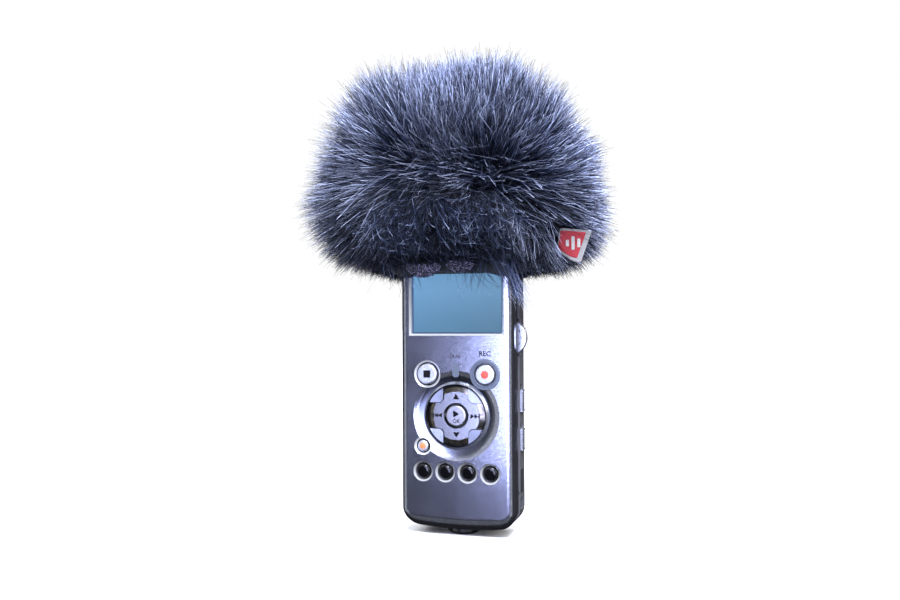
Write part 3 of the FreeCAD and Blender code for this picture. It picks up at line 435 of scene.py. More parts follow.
def woven(name, colour, thread):
    """Plain weave: crossing threads of two tones."""
    t = Tree(name, 0.62, Sheen_Weight=0.2, Sheen_Roughness=0.5)
    weave = t.times(t.ripple(t.axis("X"), thread * MM), t.ripple(t.axis("Z"), thread * MM))
    base = t.mix(t.span(weave, -1, 1), shade(colour, 0.72), shade(colour, 1.15))
    t.paint(t.mix(t.span(t.noise(0.7), 0.3, 0.7, 0.0, 0.25), base, shade(colour, 0.6)))
    t.bump(weave, 0.06, 0.8)
    return t.mat


HEM = knitted("elastic_hem", (0.030, 0.032, 0.085), 0.75, 0.6, pale=(0.75, 0.72, 0.95), sheen=0.1)
PRINT = grained("black_print", (0.006, 0.006, 0.008), 0.2, 0.2, 0.8, depth=0.004, Specular_IOR_Level=0.1)

PAINTS = {
    silver_paint(): "front_shell",
    grained("black_plastic", (0.018, 0.018, 0.021), 0.4, 0.2, 0.45):
        "side_band pad_backplate rocker_pivot_ring record_level_pot volume_pot ear_jack mic_jack "
        "card_cover battery_latch board_components memory_card battery_tray speaker mic_bracket",
    grained("dark_shell", (0.105, 0.105, 0.118), 0.35, 0.16, depth=0.03): "rear_shell battery_door",
    grained("boss_black", (0.012, 0.012, 0.014), 0.5, 0.2, 0.22, depth=0.01, Coat_Weight=0.4): "tripod_bush",
    grained("screw_zinc", (0.05, 0.05, 0.055), 0.3, 0.2, 0.35, 0.8): "case_screws",
    window_glass(): "display_window",
    lcd_panel(): "display_panel",
    frosted_lens(): "peak_lens record_light_ring",
    bezel_metal(): "pad_bezel",
    satin_key("play_metal", (0.36, 0.36, 0.39)): "play_button",
    satin_key("key_cap", caps={"stop_button": 4.2, "function_button": 2.3}): "stop_button function_button",
    satin_key("record_cap", (0.36, 0.37, 0.41), caps={"record_button": 4.2}): "record_button",
    gloss_black(): SMALL_KEYS,
    grooved_plate(): "pad_corner_blocks",
    rocker_metal(): "rocker_cap",
    wheel_metal():
        "record_level_dial volume_dial mic_sense_switch low_cut_switch power_switch",
    grained("rubber", (0.02, 0.02, 0.02), 0.3, 0.2, 0.7, depth=0.03): "usb_cover",
    brushed("spring_steel", (0.60, 0.60, 0.60)):
        "slide_switch_bodies usb_port strap_bar tact_switches card_socket battery_contacts "
        "battery_springs",
    board_green(): "main_board",
    cell_sleeve(): "batteries",
    brushed("mic_steel", (0.30, 0.30, 0.32), 0.32, (1.0, 0.2, 1.0), 0.3):
        "mic_housing_left mic_housing_right mic_grille_left mic_grille_right",
    brushed("capsule", (0.62, 0.60, 0.52), 0.25, (1.0, 1.0, 1.0), 0.2): "mic_capsule_left mic_capsule_right",
    knitted("mesh_lining", (0.025, 0.025, 0.03)): "windshield_liner",
}
for paint, painted in PAINTS.items():
    for node in painted.split():
        NODES[node].data.materials.clear()
        NODES[node].data.materials.append(paint)

# ---- making pieces


def linked(name, data):
    """A new object in the scene's own collection."""
    made = bpy.data.objects.new(name, data)
    SCENE.collection.objects.link(made)
    return made


def piece(name, verts, faces, paint, body, smooth=False):
    mesh = bpy.data.meshes.new(name)
    mesh.from_pydata([tuple(v) for v in verts], [], faces)
    mesh.materials.append(paint)
    mesh.update()
    if smooth:
        mesh.shade_smooth()
    made = linked(name, mesh)
    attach(made, body)
    return made


def bands(rows, count, first=0, wrap=False, flip=False):
    """Faces between rings of count points each. The last ring joins the first if wrap is set."""
    faces = []
    for i in range(rows if wrap else rows - 1):
        a, b = first + i * count, first + (i + 1) % rows * count
        for j in range(count):
            k = (j + 1) % count
            faces.append([a + j, a + k, b + k, b + j] if flip else [a + j, b + j, b + k, a + k])
    return faces


def key_front(node):
    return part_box(node)[0][1] - INK * MM


def stamped(name, outlines, node, body):
    """Printed symbols: flat shapes that stand off a node's front."""
    verts, faces = [], []
    front = key_front(node)
    for outline in outlines:
        first, count = len(verts), len(outline)
        verts += [Vector((x, depth, z)) for depth in (front, front + INK * MM) for x, z in outline]
        faces.append([first + i for i in range(count)])
        faces.append([first + count + i for i in reversed(range(count))])
        faces += bands(2, count, first)
    made = piece(name, verts, faces, PRINT, body)
    bm = bmesh.new()
    bm.from_mesh(made.data)
    bmesh.ops.recalc_face_normals(bm, faces=bm.faces)
    bm.to_mesh(made.data)
    bm.free()


def dome(name, node, radius, rise, paint, body):
    """A shallow round dot that rises from the middle of a key's front, sizes in millimetres."""
    x, _, z = centre(node)
    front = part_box(node)[0][1]
    rings, count = 6, 48
    verts = [(x, front - rise * MM, z)]
    for ring in range(1, rings + 1):
        share = ring / rings
        depth, out = front - rise * MM * (1 - share ** 2.4), radius * MM * share
        for i in range(count):
            angle = tau * i / count
            verts.append((x + out * cos(angle), depth, z + out * sin(angle)))
    faces = [[0, 1 + i, 1 + (i + 1) % count] for i in range(count)] + bands(rings, count, 1)
    piece(name, verts, faces, paint, body, smooth=True)


# ---- symbols and dots

INK = 0.02  # how far print stands off its key, in millimetres


def rectangle(x, z, half_x, half_z):
    return [(x - half_x * MM, z - half_z * MM), (x + half_x * MM, z - half_z * MM),
            (x + half_x * MM, z + half_z * MM), (x - half_x * MM, z + half_z * MM)]


def triangle(x, z, size, heading):
    """An isosceles triangle of the given height that points along heading, in degrees from +X."""
    turn = radians(heading)
    corners = [(0.5, 0), (-0.5, 0.6), (-0.5, -0.6)]
    return [(x + size * MM * (a * cos(turn) - b * sin(turn)),
             z + size * MM * (a * sin(turn) + b * cos(turn))) for a, b in corners]


def skip_mark(side):
    """Two triangles against a bar, pointing to the given side."""
    x, z = PAD[0] + side * 8.0 * MM, PAD[2]
    heading = 0 if side > 0 else 180
    return [triangle(x - side * 1.05 * MM, z, 1.7, heading), triangle(x + side * 0.6 * MM, z, 1.7, heading),
            rectangle(x + side * 1.75 * MM, z, 0.28, 1.0)]


stop_x, _, stop_z = centre("stop_button")
record_x, _, record_z = centre("record_button")
play_x = PAD[0] + 0.2 * MM
stamped("stop_mark", [rectangle(stop_x, stop_z, 1.5, 1.5)], "stop_button", "stop_key")
dome("record_mark", "record_button", 1.6, 0.14,
     grained("red_enamel", (0.74, 0.075, 0.035), 0.4, 0.12, 0.55, depth=0.004), "record_key")
dome("function_mark", "function_button", 1.3, 0.12,
     grained("orange_enamel", (0.78, 0.26, 0.07), 0.4, 0.15, 0.4, depth=0.004), "function_key")
stamped("play_mark", [triangle(play_x, PAD[2] + 0.8 * MM, 2.6, 0)], "play_button", "play_key")
arrows = [triangle(PAD[0], PAD[2] + side * 7.8 * MM, 2.2, side * 90) for side in (1, -1)]
stamped("rocker_marks", skip_mark(1) + skip_mark(-1) + arrows, "rocker_cap", "rocker")

# ---- print and scales on the wheels


def digits(text, size, bold=0.0):
    """A short text as points and faces in its own plane, centred on the origin, size millimetres tall."""
    curve = bpy.data.curves.new("digit", "FONT")
    curve.body = text
    curve.size = size * 1.35 * MM
    curve.offset = bold * size * MM
    curve.align_x = curve.align_y = "CENTER"
    holder = linked("digit", curve)
    bpy.context.view_layer.update()
    mesh = bpy.data.meshes.new_from_object(holder.evaluated_get(bpy.context.evaluated_depsgraph_get()))
    verts = [(v.co.x, v.co.y) for v in mesh.vertices]
    faces = [list(p.vertices) for p in mesh.polygons]
    bpy.data.objects.remove(holder)
    bpy.data.curves.remove(curve)
    bpy.data.meshes.remove(mesh)
    return verts, faces


def wheel_scale(name, node, body, side):
    """A ring of ticks with the numbers 0 to 10 on a wheel's front face."""
    x, _, z = centre(node)
    middle = Vector((x, key_front(node), z))
    rim, half = 6.95, 0.09  # where the ticks end and half their width, in millimetres
    verts, faces = [], []
    for step in range(21):
        angle = radians(-150 + 15 * step) + (0 if side > 0 else pi)
        out = Vector((cos(angle), 0, sin(angle)))
        across = Vector((-out.z, 0, out.x))
        inner = rim - (0.5 if step % 2 else 0.85)
        faces.append([len(verts) + i for i in range(4)])
        for reach, aside in ((inner, -half), (inner, half), (rim, half), (rim, -half)):
            verts.append(middle + out * reach * MM + across * aside * MM)
        if step % 2 == 0:
            number, shapes = digits(str(10 - step // 2), 1.15)
            faces += [[len(verts) + i for i in reversed(face)] for face in shapes]
            verts += [middle + out * 5.1 * MM + Vector((a, 0, b)) for a, b in number]
    piece(name, verts, faces, PRINT, body)


def word(name, text, x, z, front, size, paint, body):
    """A short word printed on a face that looks forward."""
    letters, faces = digits(text, size, 0.02)
    piece(name, [(x + a, front, z + b) for a, b in letters], [list(reversed(face)) for face in faces], paint, body)


face_front = key_front("front_shell")
word("record_word", "REC", record_x, record_z + 8.4 * MM, face_front, 2.1, PRINT, "recorder")
word("peak_word", "PEAK", PAD[0], record_z + 7.2 * MM, face_front, 1.4,
     grained("grey_print", (0.035, 0.035, 0.05), 0.2, 0.2, 0.7, depth=0.004, Specular_IOR_Level=0.2), "recorder")
word("ok_word", "OK", play_x, PAD[2] - 2.2 * MM, key_front("play_button"), 1.6, PRINT, "play_key")

wheel_scale("record_level_scale", "record_level_dial", "level_wheel", 1)
wheel_scale("volume_scale", "volume_dial", "volume_wheel", -1)

# ---- windshield: hem


def loop_point(share, half_x, half_y, radius):
    """A point and its outward normal on a rounded rectangle, at a share of the way round."""
    flat = [2 * (half_y - radius), 2 * (half_x - radius)] * 2
    arc = pi * radius / 2
    at = share * (sum(flat) + 4 * arc)
    for side in range(4):
        out = Vector(((1, 0), (0, 1), (-1, 0), (0, -1))[side])
        way = Vector((-out.y, out.x))
        corner = (out + way) * flat[side] / 2 + out * (flat[side - 1] - flat[side]) / 2
        if at <= flat[side]:
            return corner + out * radius - way * (flat[side] - at), out
        at -= flat[side]
        if at <= arc or side == 3:
            angle = pi / 2 * side + at / radius
            normal = Vector((cos(angle), sin(angle)))
            return corner + normal * radius, normal
        at -= arc


SAGS = ((-10.5, 7.0), (5.5, 7.5))  # middles and half widths in millimetres of the hem's slack lengths in front


def slack(x, y):
    """How slack the hem is at a place round the neck, from 0 to 1."""
    most = 0.0
    for middle, half in SAGS:
        across = (x / MM - middle) / half
        if y < 0 and abs(across) < 1:
            most = max(most, (1 - across * across) ** 0.7)
    return most


def hem():
    """A ribbed elastic hem gathered round the recorder's neck, with slack lengths in front."""
    low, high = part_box("windshield_elastic")
    half_x, half_y = (high[0] - low[0]) / 2 - 0.75 * MM, (high[1] - low[1]) / 2 - 0.75 * MM
    height, middle = high[2] - low[2], (high[2] + low[2]) / 2
    around, section, ribs = 900, 16, 120
    verts = []
    for i in range(around):
        point, normal = loop_point(i / around, half_x, half_y, 3.8 * MM)
        turn = tau * i / around
        rib = 0.5 + 0.5 * cos(turn * ribs)
        sway = 0.18 * sin(turn * 9) + 0.1 * sin(turn * 23 + 1)
        loose = slack(point.x, point.y)
        for j in range(section):
            angle = tau * j / section
            outer = max(0.0, cos(angle))
            thick = (0.42 + 0.26 * rib) * MM * cos(angle) + loose * (1.5 + 0.25 * rib) * MM * outer
            tall = (height / 2 - 0.15 * MM) * sin(angle) + sway * MM * 0.4
            if point.y < 0 and tall < 0:
                tall *= 1 - 0.55 * min(1.0, max(0.0, (19 * MM - abs(point.x)) / (5 * MM)))
            verts.append((point.x + normal.x * thick, point.y + normal.y * thick, middle + tall))
    made = piece("elastic_band", verts, bands(around, section, wrap=True), HEM, "windshield",
                 smooth=True)
    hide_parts("windshield_elastic")


ROLLS = ((-17.0, -2.2, 110.0, 1.9), (-0.2, 11.6, 110.6, 0.7))  # ends, height and sag in millimetres
ROLL_Y = -22.6


def roll_point(roll, share, angle, lift=0.0):
    """A place on a roll at a share of its length and an angle round it, lift millimetres off its surface."""
    left, right, level, sag = roll
    full = sin(pi * min(max(share, 0.0), 1.0))
    radius = 0.3 + 2.3 * full**0.55 + 0.16 * sin(share * tau * 15) * full + lift
    z = level - sag * full + 0.12 * sin(share * 11 + left)
    return Vector((left + (right - left) * share, ROLL_Y - radius * 0.95 * cos(angle),
                   z + radius * sin(angle))) * MM


def rolled_hem():
    """The cloth's slack lengths in front, which roll out from under the pile."""
    around, rows = 28, 90
    for index, roll in enumerate(ROLLS):
        verts = [roll_point(roll, i / rows, tau * j / around) for i in range(rows + 1) for j in range(around)]
        faces = bands(rows + 1, around, flip=True)
        faces.append(list(range(around)))
        faces.append(list(reversed(range(rows * around, (rows + 1) * around))))
        piece(f"hem_roll_{index + 1}", verts, faces, HEM, "windshield", smooth=True)


hem()
rolled_hem()

# ---- windshield: fur

FUR_LOW, FUR_HIGH = (np.array(v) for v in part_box("windshield_fur"))
LINER_LOW, LINER_HIGH = (np.array(v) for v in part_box("windshield_liner"))
FUR_MIDDLE = (FUR_LOW + FUR_HIGH) / 2
CORE_HALF = (LINER_HIGH - LINER_LOW) / 2 + np.array([1.2, 1.0, 0.8]) * MM
CORE_MIDDLE = np.array([0.0, 0.0, (LINER_HIGH[2] + LINER_LOW[2]) / 2 + 0.6 * MM])


def soft_norm(points, middle, half, power_low, power_high):
    """Below 1 inside a cushion, with a fuller foot (power_low) and a rounder crown (power_high)."""
    q = np.abs((points - middle) / half)
    power = np.where(points[..., 2] < middle[2], power_low, power_high)[..., None]
    return (q**power).sum(-1) ** (1 / power[..., 0])


def core_surface(directions):
    reach = 1 / soft_norm(CORE_MIDDLE + directions, CORE_MIDDLE, CORE_HALF, 3.4, 3.0)
    return CORE_MIDDLE + directions * reach[:, None]


def core_normals(points):
    q = (points - CORE_MIDDLE) / CORE_HALF
    slope = np.sign(q) * np.abs(q) ** 2.1 / CORE_HALF
    return slope / np.linalg.norm(slope, axis=1, keepdims=True)


LABEL_OUTLINE = [(-6.6, -2.8), (-1.0, -6.6), (2.4, -7.6), (7.0, 5.0), (-5.4, 6.2)]
LABEL_TURN = 12  # degrees about Z
WIDEST = np.array([0, 0, 7 * MM])  # how far below its middle the pile is widest
FOOT_POWER, CROWN_POWER = 3.3, 2.35  # how square the pile's form is below and above there


def fur_reach(points):
    """The pile's outer form as a norm: domed above, fuller below."""
    half = (FUR_HIGH - FUR_LOW) / 2
    middle = FUR_MIDDLE - WIDEST
    stretched = np.where(points[..., 2:3] > middle[2], half + WIDEST, half - WIDEST)
    return soft_norm(points, middle, stretched, FOOT_POWER, CROWN_POWER)


def fullness(roots):
    """How much further than that form the pile reaches, by its bearing about the Y axis."""
    bearing = np.degrees(np.arctan2(roots[:, 2] - FUR_MIDDLE[2] + 3 * MM, roots[:, 0]))
    bearings = [-180, -150, -125, -90, -55, -35, -15, 0, 15, 30, 45, 60, 75, 90, 115, 130, 150, 165, 180]
    gains = [0.06, 0.06, 0.03, 0.0, 0.03, 0.08, 0.02, -0.02, -0.03, 0.02, 0.09, 0.09, 0.06, 0.05, 0.0, 0.07,
             0.15, 0.10, 0.06]
    return np.interp(bearing, bearings, gains)


DOWN = np.array([0, 0, -1.0])


def unit(v):
    return v / np.linalg.norm(v, axis=-1, keepdims=True)


def smooth_noise(points, size, seed):
    """Cheap smooth noise from a few sine waves, between about -1 and 1."""
    gen = np.random.default_rng(seed)
    total = np.zeros(len(points))
    for _ in range(6):
        wave = gen.normal(size=3) * tau / (size * MM) / 1.7
        total += np.sin(points @ wave + gen.uniform(0, 6.3))
    return total / 2.6


def backing():
    """The cloth that carries the pile, open below round the neck."""
    made = bpy.data.meshes.new("fur_backing")
    bm = bmesh.new()
    bmesh.ops.create_icosphere(bm, subdivisions=6, radius=1.0)
    directions = unit(np.array([v.co[:] for v in bm.verts]))
    points = core_surface(directions)
    points += unit(points - CORE_MIDDLE) * (0.5 * MM * smooth_noise(points, 9, 5))[:, None]
    for vert, point in zip(bm.verts, points):
        vert.co = point
    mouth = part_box("windshield_elastic")[1]
    inside = [v for v in bm.verts if v.co.z < mouth[2] + 2.5 * MM
              and abs(v.co.x) < mouth[0] and abs(v.co.y) < mouth[1]]
    bmesh.ops.delete(bm, geom=inside, context="VERTS")
    bm.to_mesh(made)
    bm.free()
    made.shade_smooth()
    made.materials.append(knitted("backing_cloth", (0.008, 0.010, 0.018), 1.1, 0.2, sheen=0.0))
    cloth = linked("fur_backing", made)
    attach(cloth, "windshield")
    return cloth


PARTING = np.array([[-12.0, 142.0], [20.0, 140.0]]) * MM  # ends of the parting on a broad side, as x and z


def from_parting(points):
    """Vectors in the XZ plane from the nearest point of the parting."""
    run = PARTING[1] - PARTING[0]
    flat = points[:, [0, 2]]
    share = np.clip((flat - PARTING[0]) @ run / (run @ run), 0, 1)
    return flat - PARTING[0] - share[:, None] * run


def combing(points, normals):
    """Which way the pile lies: away from the parting of each broad side, and down below it."""
    off = from_parting(points)
    spread = np.linalg.norm(off, axis=1, keepdims=True)
    off = off / (spread + 7 * MM)
    away = np.stack([off[:, 0], np.zeros(len(off)), off[:, 1]], 1)
    facing = np.abs(normals[:, 1:2])
    lie = normals * (1.0 - 0.45 * facing) + away * (0.30 + 0.85 * facing)
    below = np.clip((140 * MM - points[:, 2:3]) / (16 * MM), 0, 1)
    lie += DOWN * below * (0.08 + 0.40 * facing)
    lie += np.array([0, 0, -0.45]) * np.exp(-((spread / (9 * MM)) ** 2)) * facing
    return unit(lie)


def low_centre(roots):
    """1 in the middle of a broad side just above the neck, fading to 0 outside."""
    beside = np.clip((30 * MM - np.abs(roots[:, 0])) / (14 * MM), 0, 1)
    return np.clip((142 * MM - roots[:, 2]) / (20 * MM), 0, 1) * beside


def shade_low_left(roots):
    """Painted shade on the pile: darker low down, less so at its sides, and darker towards the left."""
    low = np.interp(roots[:, 2], [108 * MM, 134 * MM, 156 * MM], [0.45, 0.70, 1.0])
    left = np.interp(roots[:, 0], [-36 * MM, -10 * MM], [0.86, 1.0])
    beside = np.interp(np.abs(roots[:, 0]), [26 * MM, 36 * MM], [0.0, 0.25])
    return np.minimum(low + beside, 1.0) * left


def clear_of_label(line):
    """Which lines stay out of the space in front of the label."""
    low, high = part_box("windshield_label")
    off = line - (np.array(low) + high) / 2
    turn = radians(LABEL_TURN)
    across = off[..., 0] * cos(turn) + off[..., 1] * sin(turn)
    ahead = off[..., 0] * sin(turn) - off[..., 1] * cos(turn)
    hidden = (np.abs(across - 0.6 * MM) < 5.6 * MM) & (np.abs(off[..., 2] + 0.6 * MM) < 5.4 * MM)
    hidden &= ahead > -0.6 * MM
    return ~hidden.any(axis=1)


SEGMENTS = 4  # of a hair
LOCK_SIZE = 2.3  # in millimetres
REACH = (0.91, 0.985)  # where hairs end, as shares of the pile's outer form


def hairs(name, count, seed, width, trim, paint, frizz=0.14, clump=0.75):
    """Ribbon hairs from the backing to the outer form, gathered in locks."""
    gen = np.random.default_rng(seed)
    directions = unit(gen.normal(size=(int(count * 1.35), 3)) * [1.15, 1.0, 1.05])
    roots = core_surface(directions)
    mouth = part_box("windshield_elastic")[1]
    clear = ~((roots[:, 2] < LINER_LOW[2] + 2 * MM) & (np.abs(roots[:, 0]) < mouth[0] - 1 * MM)
              & (np.abs(roots[:, 1]) < mouth[1] - 1 * MM))
    ragged = 17 * MM + gen.normal(size=len(roots)) * MM
    clear &= ~((roots[:, 2] < 112 * MM) & (np.abs(roots[:, 0] + 2 * MM) < ragged))
    roots = roots[clear][:count]
    count = len(roots)
    normals = core_normals(roots)
    lie = combing(roots, normals)
    near = np.exp(-((np.linalg.norm(from_parting(roots), axis=1) / (11 * MM)) ** 2)) * np.abs(normals[:, 1])
    near = np.maximum(near, 0.8 * low_centre(roots) * np.abs(normals[:, 1]))
    swirl = np.stack([smooth_noise(roots, 11, SEED + k) for k in (1, 2, 3)], 1)
    strays = gen.normal(size=(count, 3))
    way = unit(lie + swirl * (0.14 + 0.70 * near)[:, None] + strays * (frizz * (1 + 2.2 * near))[:, None])
    # locks: hairs lean towards a shared tip
    jitter = roots + gen.normal(size=roots.shape) * 0.35 * MM
    cell = np.floor(jitter / (LOCK_SIZE * MM)).astype(int)
    keys = (cell[:, 0] * 73856093) ^ (cell[:, 1] * 19349663) ^ (cell[:, 2] * 83492791)
    _, lock = np.unique(keys, return_inverse=True)
    lock = lock.ravel()
    many = np.bincount(lock)
    roots_sum, way_sum = (np.stack([np.bincount(lock, v[:, k]) for k in range(3)], 1) for v in (roots, way))
    middle = roots_sum / many[:, None]
    lean = unit(way_sum + 0.10 * many[:, None] * gen.normal(size=(len(many), 3)))
    lock_tone = (np.floor(gen.uniform(0, 1, len(many)) * 8) / 7)[lock]
    lock_long = gen.uniform(-1, 1, len(many))[lock]
    target = gen.uniform(*REACH, count) + 0.03 * lock_long + 0.025 * smooth_noise(roots, 24, 77) + fullness(roots)
    shadowed = low_centre(roots)
    target -= 0.22 * shadowed * np.abs(normals[:, 1])
    # the length at which each hair's tip meets the outer form
    low, high = np.zeros(count), np.full(count, 60 * MM)
    for _ in range(14):
        half = (low + high) / 2
        tips = hair_points(roots, normals, way, half, np.ones(1))[:, 0]
        out = fur_reach(tips) > target
        high, low = np.where(out, half, high), np.where(out, low, half)
    length = np.clip((low + high) / 2, 2.5 * MM, 46 * MM) * gen.uniform(*trim, count)
    steps = np.linspace(0, 1, SEGMENTS + 1)
    line = hair_points(roots, normals, way, length, steps)
    guide = hair_points(middle[lock], normals, lean[lock], length, steps)
    pull = (clump * steps**1.3)[None, :, None] * gen.uniform(0.45, 1.0, count)[:, None, None]
    line = line * (1 - pull) + guide * pull
    wave = np.sin(steps[None] * gen.uniform(3, 8, count)[:, None] + gen.uniform(0, 6, count)[:, None])
    line += strays[:, None] * (wave * steps[None] * 0.4 * MM)[..., None]
    # hairs over the neck end above it, and those over the rolls end higher
    over_roll = np.abs(line[:, -1, 0] + 2.5 * MM) < 16 * MM
    foot = np.where(over_roll, gen.normal(112.8, 1.0, count), gen.normal(109.0, 1.5, count)) * MM
    drop = np.maximum(roots[:, 2] - line[..., 2].min(1), 0.1 * MM)
    keep = np.where(low_centre(line[:, -1]) > 0.3, np.clip((roots[:, 2] - foot) / drop, 0.15, 1.0), 1.0)
    line = roots[:, None] + (line - roots[:, None]) * keep[:, None, None]
    shadowed = np.maximum(shadowed, low_centre(line[:, -1]))
    # the hairs' own tone carries painted shade: darker in the low middle of each broad side, low down and towards
    # the left
    own = gen.uniform(0, 1, count) * (1 - 0.74 * shadowed) * shade_low_left(roots)
    kept = clear_of_label(line)
    widths = width * (1 - 0.35 * shadowed)
    return ribbons(name, line[kept], widths[kept], lock_tone[kept], own[kept], gen, paint)


def ribbons(name, line, width, lock_tone, own, gen, paint):
    """One mesh of tapering ribbons along lines of points. Width and lock_tone are for all hairs or for each."""
    count, rows = line.shape[:2]
    steps = np.linspace(0, 1, rows)
    own, lock_tone = np.floor(own * 31.99) / 31, np.broadcast_to(lock_tone, count)
    along = unit(line[:, -1] - line[:, 0])
    flat = unit(np.cross(along, gen.normal(size=(count, 3))))
    taper = (1 - 0.68 * steps**1.7) * np.broadcast_to(width, count)[:, None] / 2 * MM
    left, right = line - flat[:, None] * taper[..., None], line + flat[:, None] * taper[..., None]
    verts = np.stack([left, right], 2).reshape(-1, 3)
    base = (np.arange(count) * rows * 2)[:, None]
    quads = [base + np.array([[2 * s, 2 * s + 1, 2 * s + 3, 2 * s + 2]]) for s in range(rows - 1)]
    faces = np.stack(quads, 1).reshape(-1, 4)
    mesh = bpy.data.meshes.new(name)
    mesh.from_pydata(verts, [], faces, shade_flat=False)
    mesh.update(calc_edges=True)
    tone = np.ones((count, rows, 2, 4))
    tone[..., 0] = steps[None, :, None]
    tone[..., 1] = own[:, None, None]
    tone[..., 2] = lock_tone[:, None, None]
    layer = mesh.color_attributes.new("tone", "FLOAT_COLOR", "POINT")
    layer.data.foreach_set("color", tone.astype(np.float32).ravel())
    # each hair has a column of the map to itself or shares it with hairs of the same tones
    column = (own * 31 * 8 + lock_tone * 7 + 0.5) / 256
    spots = np.empty((count, rows, 2, 2))
    spots[..., 0] = column[:, None, None] + np.array([-0.3, 0.3]) / 256
    spots[..., 1] = (0.01 + 0.98 * steps)[None, :, None]
    chart = mesh.uv_layers.new(name="OFBake")
    chart.data.foreach_set("uv", spots.reshape(-1, 2)[faces.ravel()].astype(np.float32).ravel())
    mesh.materials.append(paint)
    made = linked(name, mesh)
    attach(made, "windshield")
    return made


def hair_points(roots, normals, way, length, steps):
    """Points along hairs that leave along the normal and bend over into their way."""
    bend = steps[None, :, None] ** 0.8
    heading = normals[:, None] * (1 - bend) * 0.55 + way[:, None] * (0.45 + 0.55 * bend)
    droop = DOWN * (0.05 * steps[None, :, None] ** 2)
    return roots[:, None] + (heading + droop) * (length[:, None] * steps[None])[..., None]


FIBRE = fibre("fur_fibre", (0.002, 0.003, 0.007), (0.040, 0.056, 0.118), (0.47, 0.53, 0.78))
WISP = fibre("fur_wisp_fibre", (0.002, 0.003, 0.008), (0.038, 0.056, 0.120), (0.40, 0.48, 0.76))
UNDER = fibre("fur_undercoat", (0.002, 0.003, 0.007), (0.015, 0.020, 0.042), (0.055, 0.066, 0.12))

portion = 1.0
coats = [backing()]
for index in range(4):
    coats.append(hairs(f"fur_long_{index + 1}", int(21000 * portion), SEED + 10 * index, 0.21, (0.80, 1.0),
                       FIBRE))
coats.append(hairs("fur_undercoat", int(24000 * portion), SEED + 90, 0.28, (0.35, 0.75), UNDER,
                   frizz=0.3, clump=0.2))
STRAYS = [  # roots and tips in millimetres of the loose locks that hang past the hem, with how many hairs
    ((19, -27, 119), (27, -14.8, 100), 40), ((20, -27, 117), (29, -14.0, 95), 30),
    ((25, -25, 119), (31, -18, 100), 26),
    ((-24, -26, 121), (-27, -15, 107), 22), ((-18, -24, 115), (-21.5, -13.5, 100), 9),
    ((9, -25, 118), (4, -13.2, 104), 12), ((3, -25, 118), (-4, -13.2, 104), 9),
    ((15, -25, 118), (9, -13.4, 103), 12), ((12, -25, 118), (18, -13.4, 102), 14),
    ((-14, -25, 118), (-12, -13.4, 104), 9)]


def strays():
    """Long loose hairs that hang down from under the pile."""
    gen = np.random.default_rng(SEED + 200)
    lines, tones = [], []
    steps = np.linspace(0, 1, 9)[:, None]
    for root, tip, count in STRAYS:
        for _ in range(count):
            start = np.array(root) + gen.normal(0, (2.2, 0.6, 1.2))
            end = np.array(tip) + gen.normal(0, (1.9, 0.3, 3.2))
            bulge = np.array([0.0, -1.5, -1.0]) + gen.normal(0, (1.0, 0.4, 0.6))
            lines.append((start + (end - start) * steps + bulge * np.sin(pi * steps)) * MM)
            # painted light: the locks rooted on the right are given paler tones than the rest
            tones.append(gen.uniform(0.45, 1.0) if root[0] > 18 else gen.uniform(0.1, 0.85))
    pale = fibre("fur_stray_fibre", (0.01, 0.013, 0.03), (0.16, 0.20, 0.36), (0.62, 0.68, 0.92))
    return ribbons("fur_strays", np.array(lines), 0.28, 0.9, np.array(tones), gen, pale)


def skin(x, z, reach):
    """The Y of the pile's front at places in millimetres below its widest, where its form's norm is reach."""
    half = (FUR_HIGH - FUR_LOW) / 2
    low = np.abs(z * MM - FUR_MIDDLE[2] + WIDEST[2]) / (half[2] - WIDEST[2])
    inside = reach**FOOT_POWER - np.abs(x * MM / half[0]) ** FOOT_POWER - low**FOOT_POWER
    return -half[1] * np.maximum(inside, 0.03) ** (1 / FOOT_POWER)


def wisps(name, side, seed):
    """Fine hairs tangled over the matted pile above the neck, on one broad side."""
    gen = np.random.default_rng(seed)
    count, rows = int(2300 * portion), 9
    x, z = gen.uniform(-27, 27, count), gen.uniform(110, 137, count)
    heading = np.where(x > 0, -28.0, -152.0) + gen.normal(0, 48, count)
    heading = np.where(z > 122, heading * 0.5 - 45, heading)
    turn, length = gen.normal(0, 5, count), gen.uniform(7, 18, count)
    reach = gen.uniform(0.76, 0.92, count)
    lines = np.empty((count, rows, 3))
    for s in range(rows):
        lines[:, s] = np.stack([x, skin(x, z, reach + 0.03 * s / rows) / MM * side, z], 1)
        x = x + length / rows * np.cos(np.radians(heading))
        z = z + length / rows * np.sin(np.radians(heading))
        heading = heading + turn + gen.normal(0, 6, count)
    lines[..., 2] = np.maximum(lines[..., 2], gen.normal(110.5, 1.2, count)[:, None])
    own = gen.uniform(0.25, 0.93, count)
    return ribbons(name, lines * MM, 0.2, 0.6, own, gen, WISP)


def threads():
    """Pale threads that stand off the slack rolls."""
    gen = np.random.default_rng(SEED + 400)
    steps = np.linspace(0, 1, 5)
    lines = []
    for roll in ROLLS:
        for _ in range(340):
            share, angle = gen.uniform(0.03, 0.97), gen.uniform(-1.5, 1.2)
            run, rise = gen.normal(0, 0.045), gen.normal(0, 0.35)
            lines.append([roll_point(roll, share + run * s, angle + rise * s, 0.04 + 0.3 * sin(pi * s))
                          for s in steps])
    own = gen.uniform(0.3, 0.95, len(lines))
    paint = fibre("hem_thread", (0.05, 0.05, 0.12), (0.45, 0.43, 0.75), (0.85, 0.82, 1.0))
    ribbons("hem_threads", np.array(lines), 0.24, 0.9, own, gen, paint)


coats += [strays(), wisps("fur_wisps_front", 1, SEED + 300), wisps("fur_wisps_back", -1, SEED + 301)]
threads()
for coat in coats:
    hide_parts("windshield_fur")

# ---- windshield: label


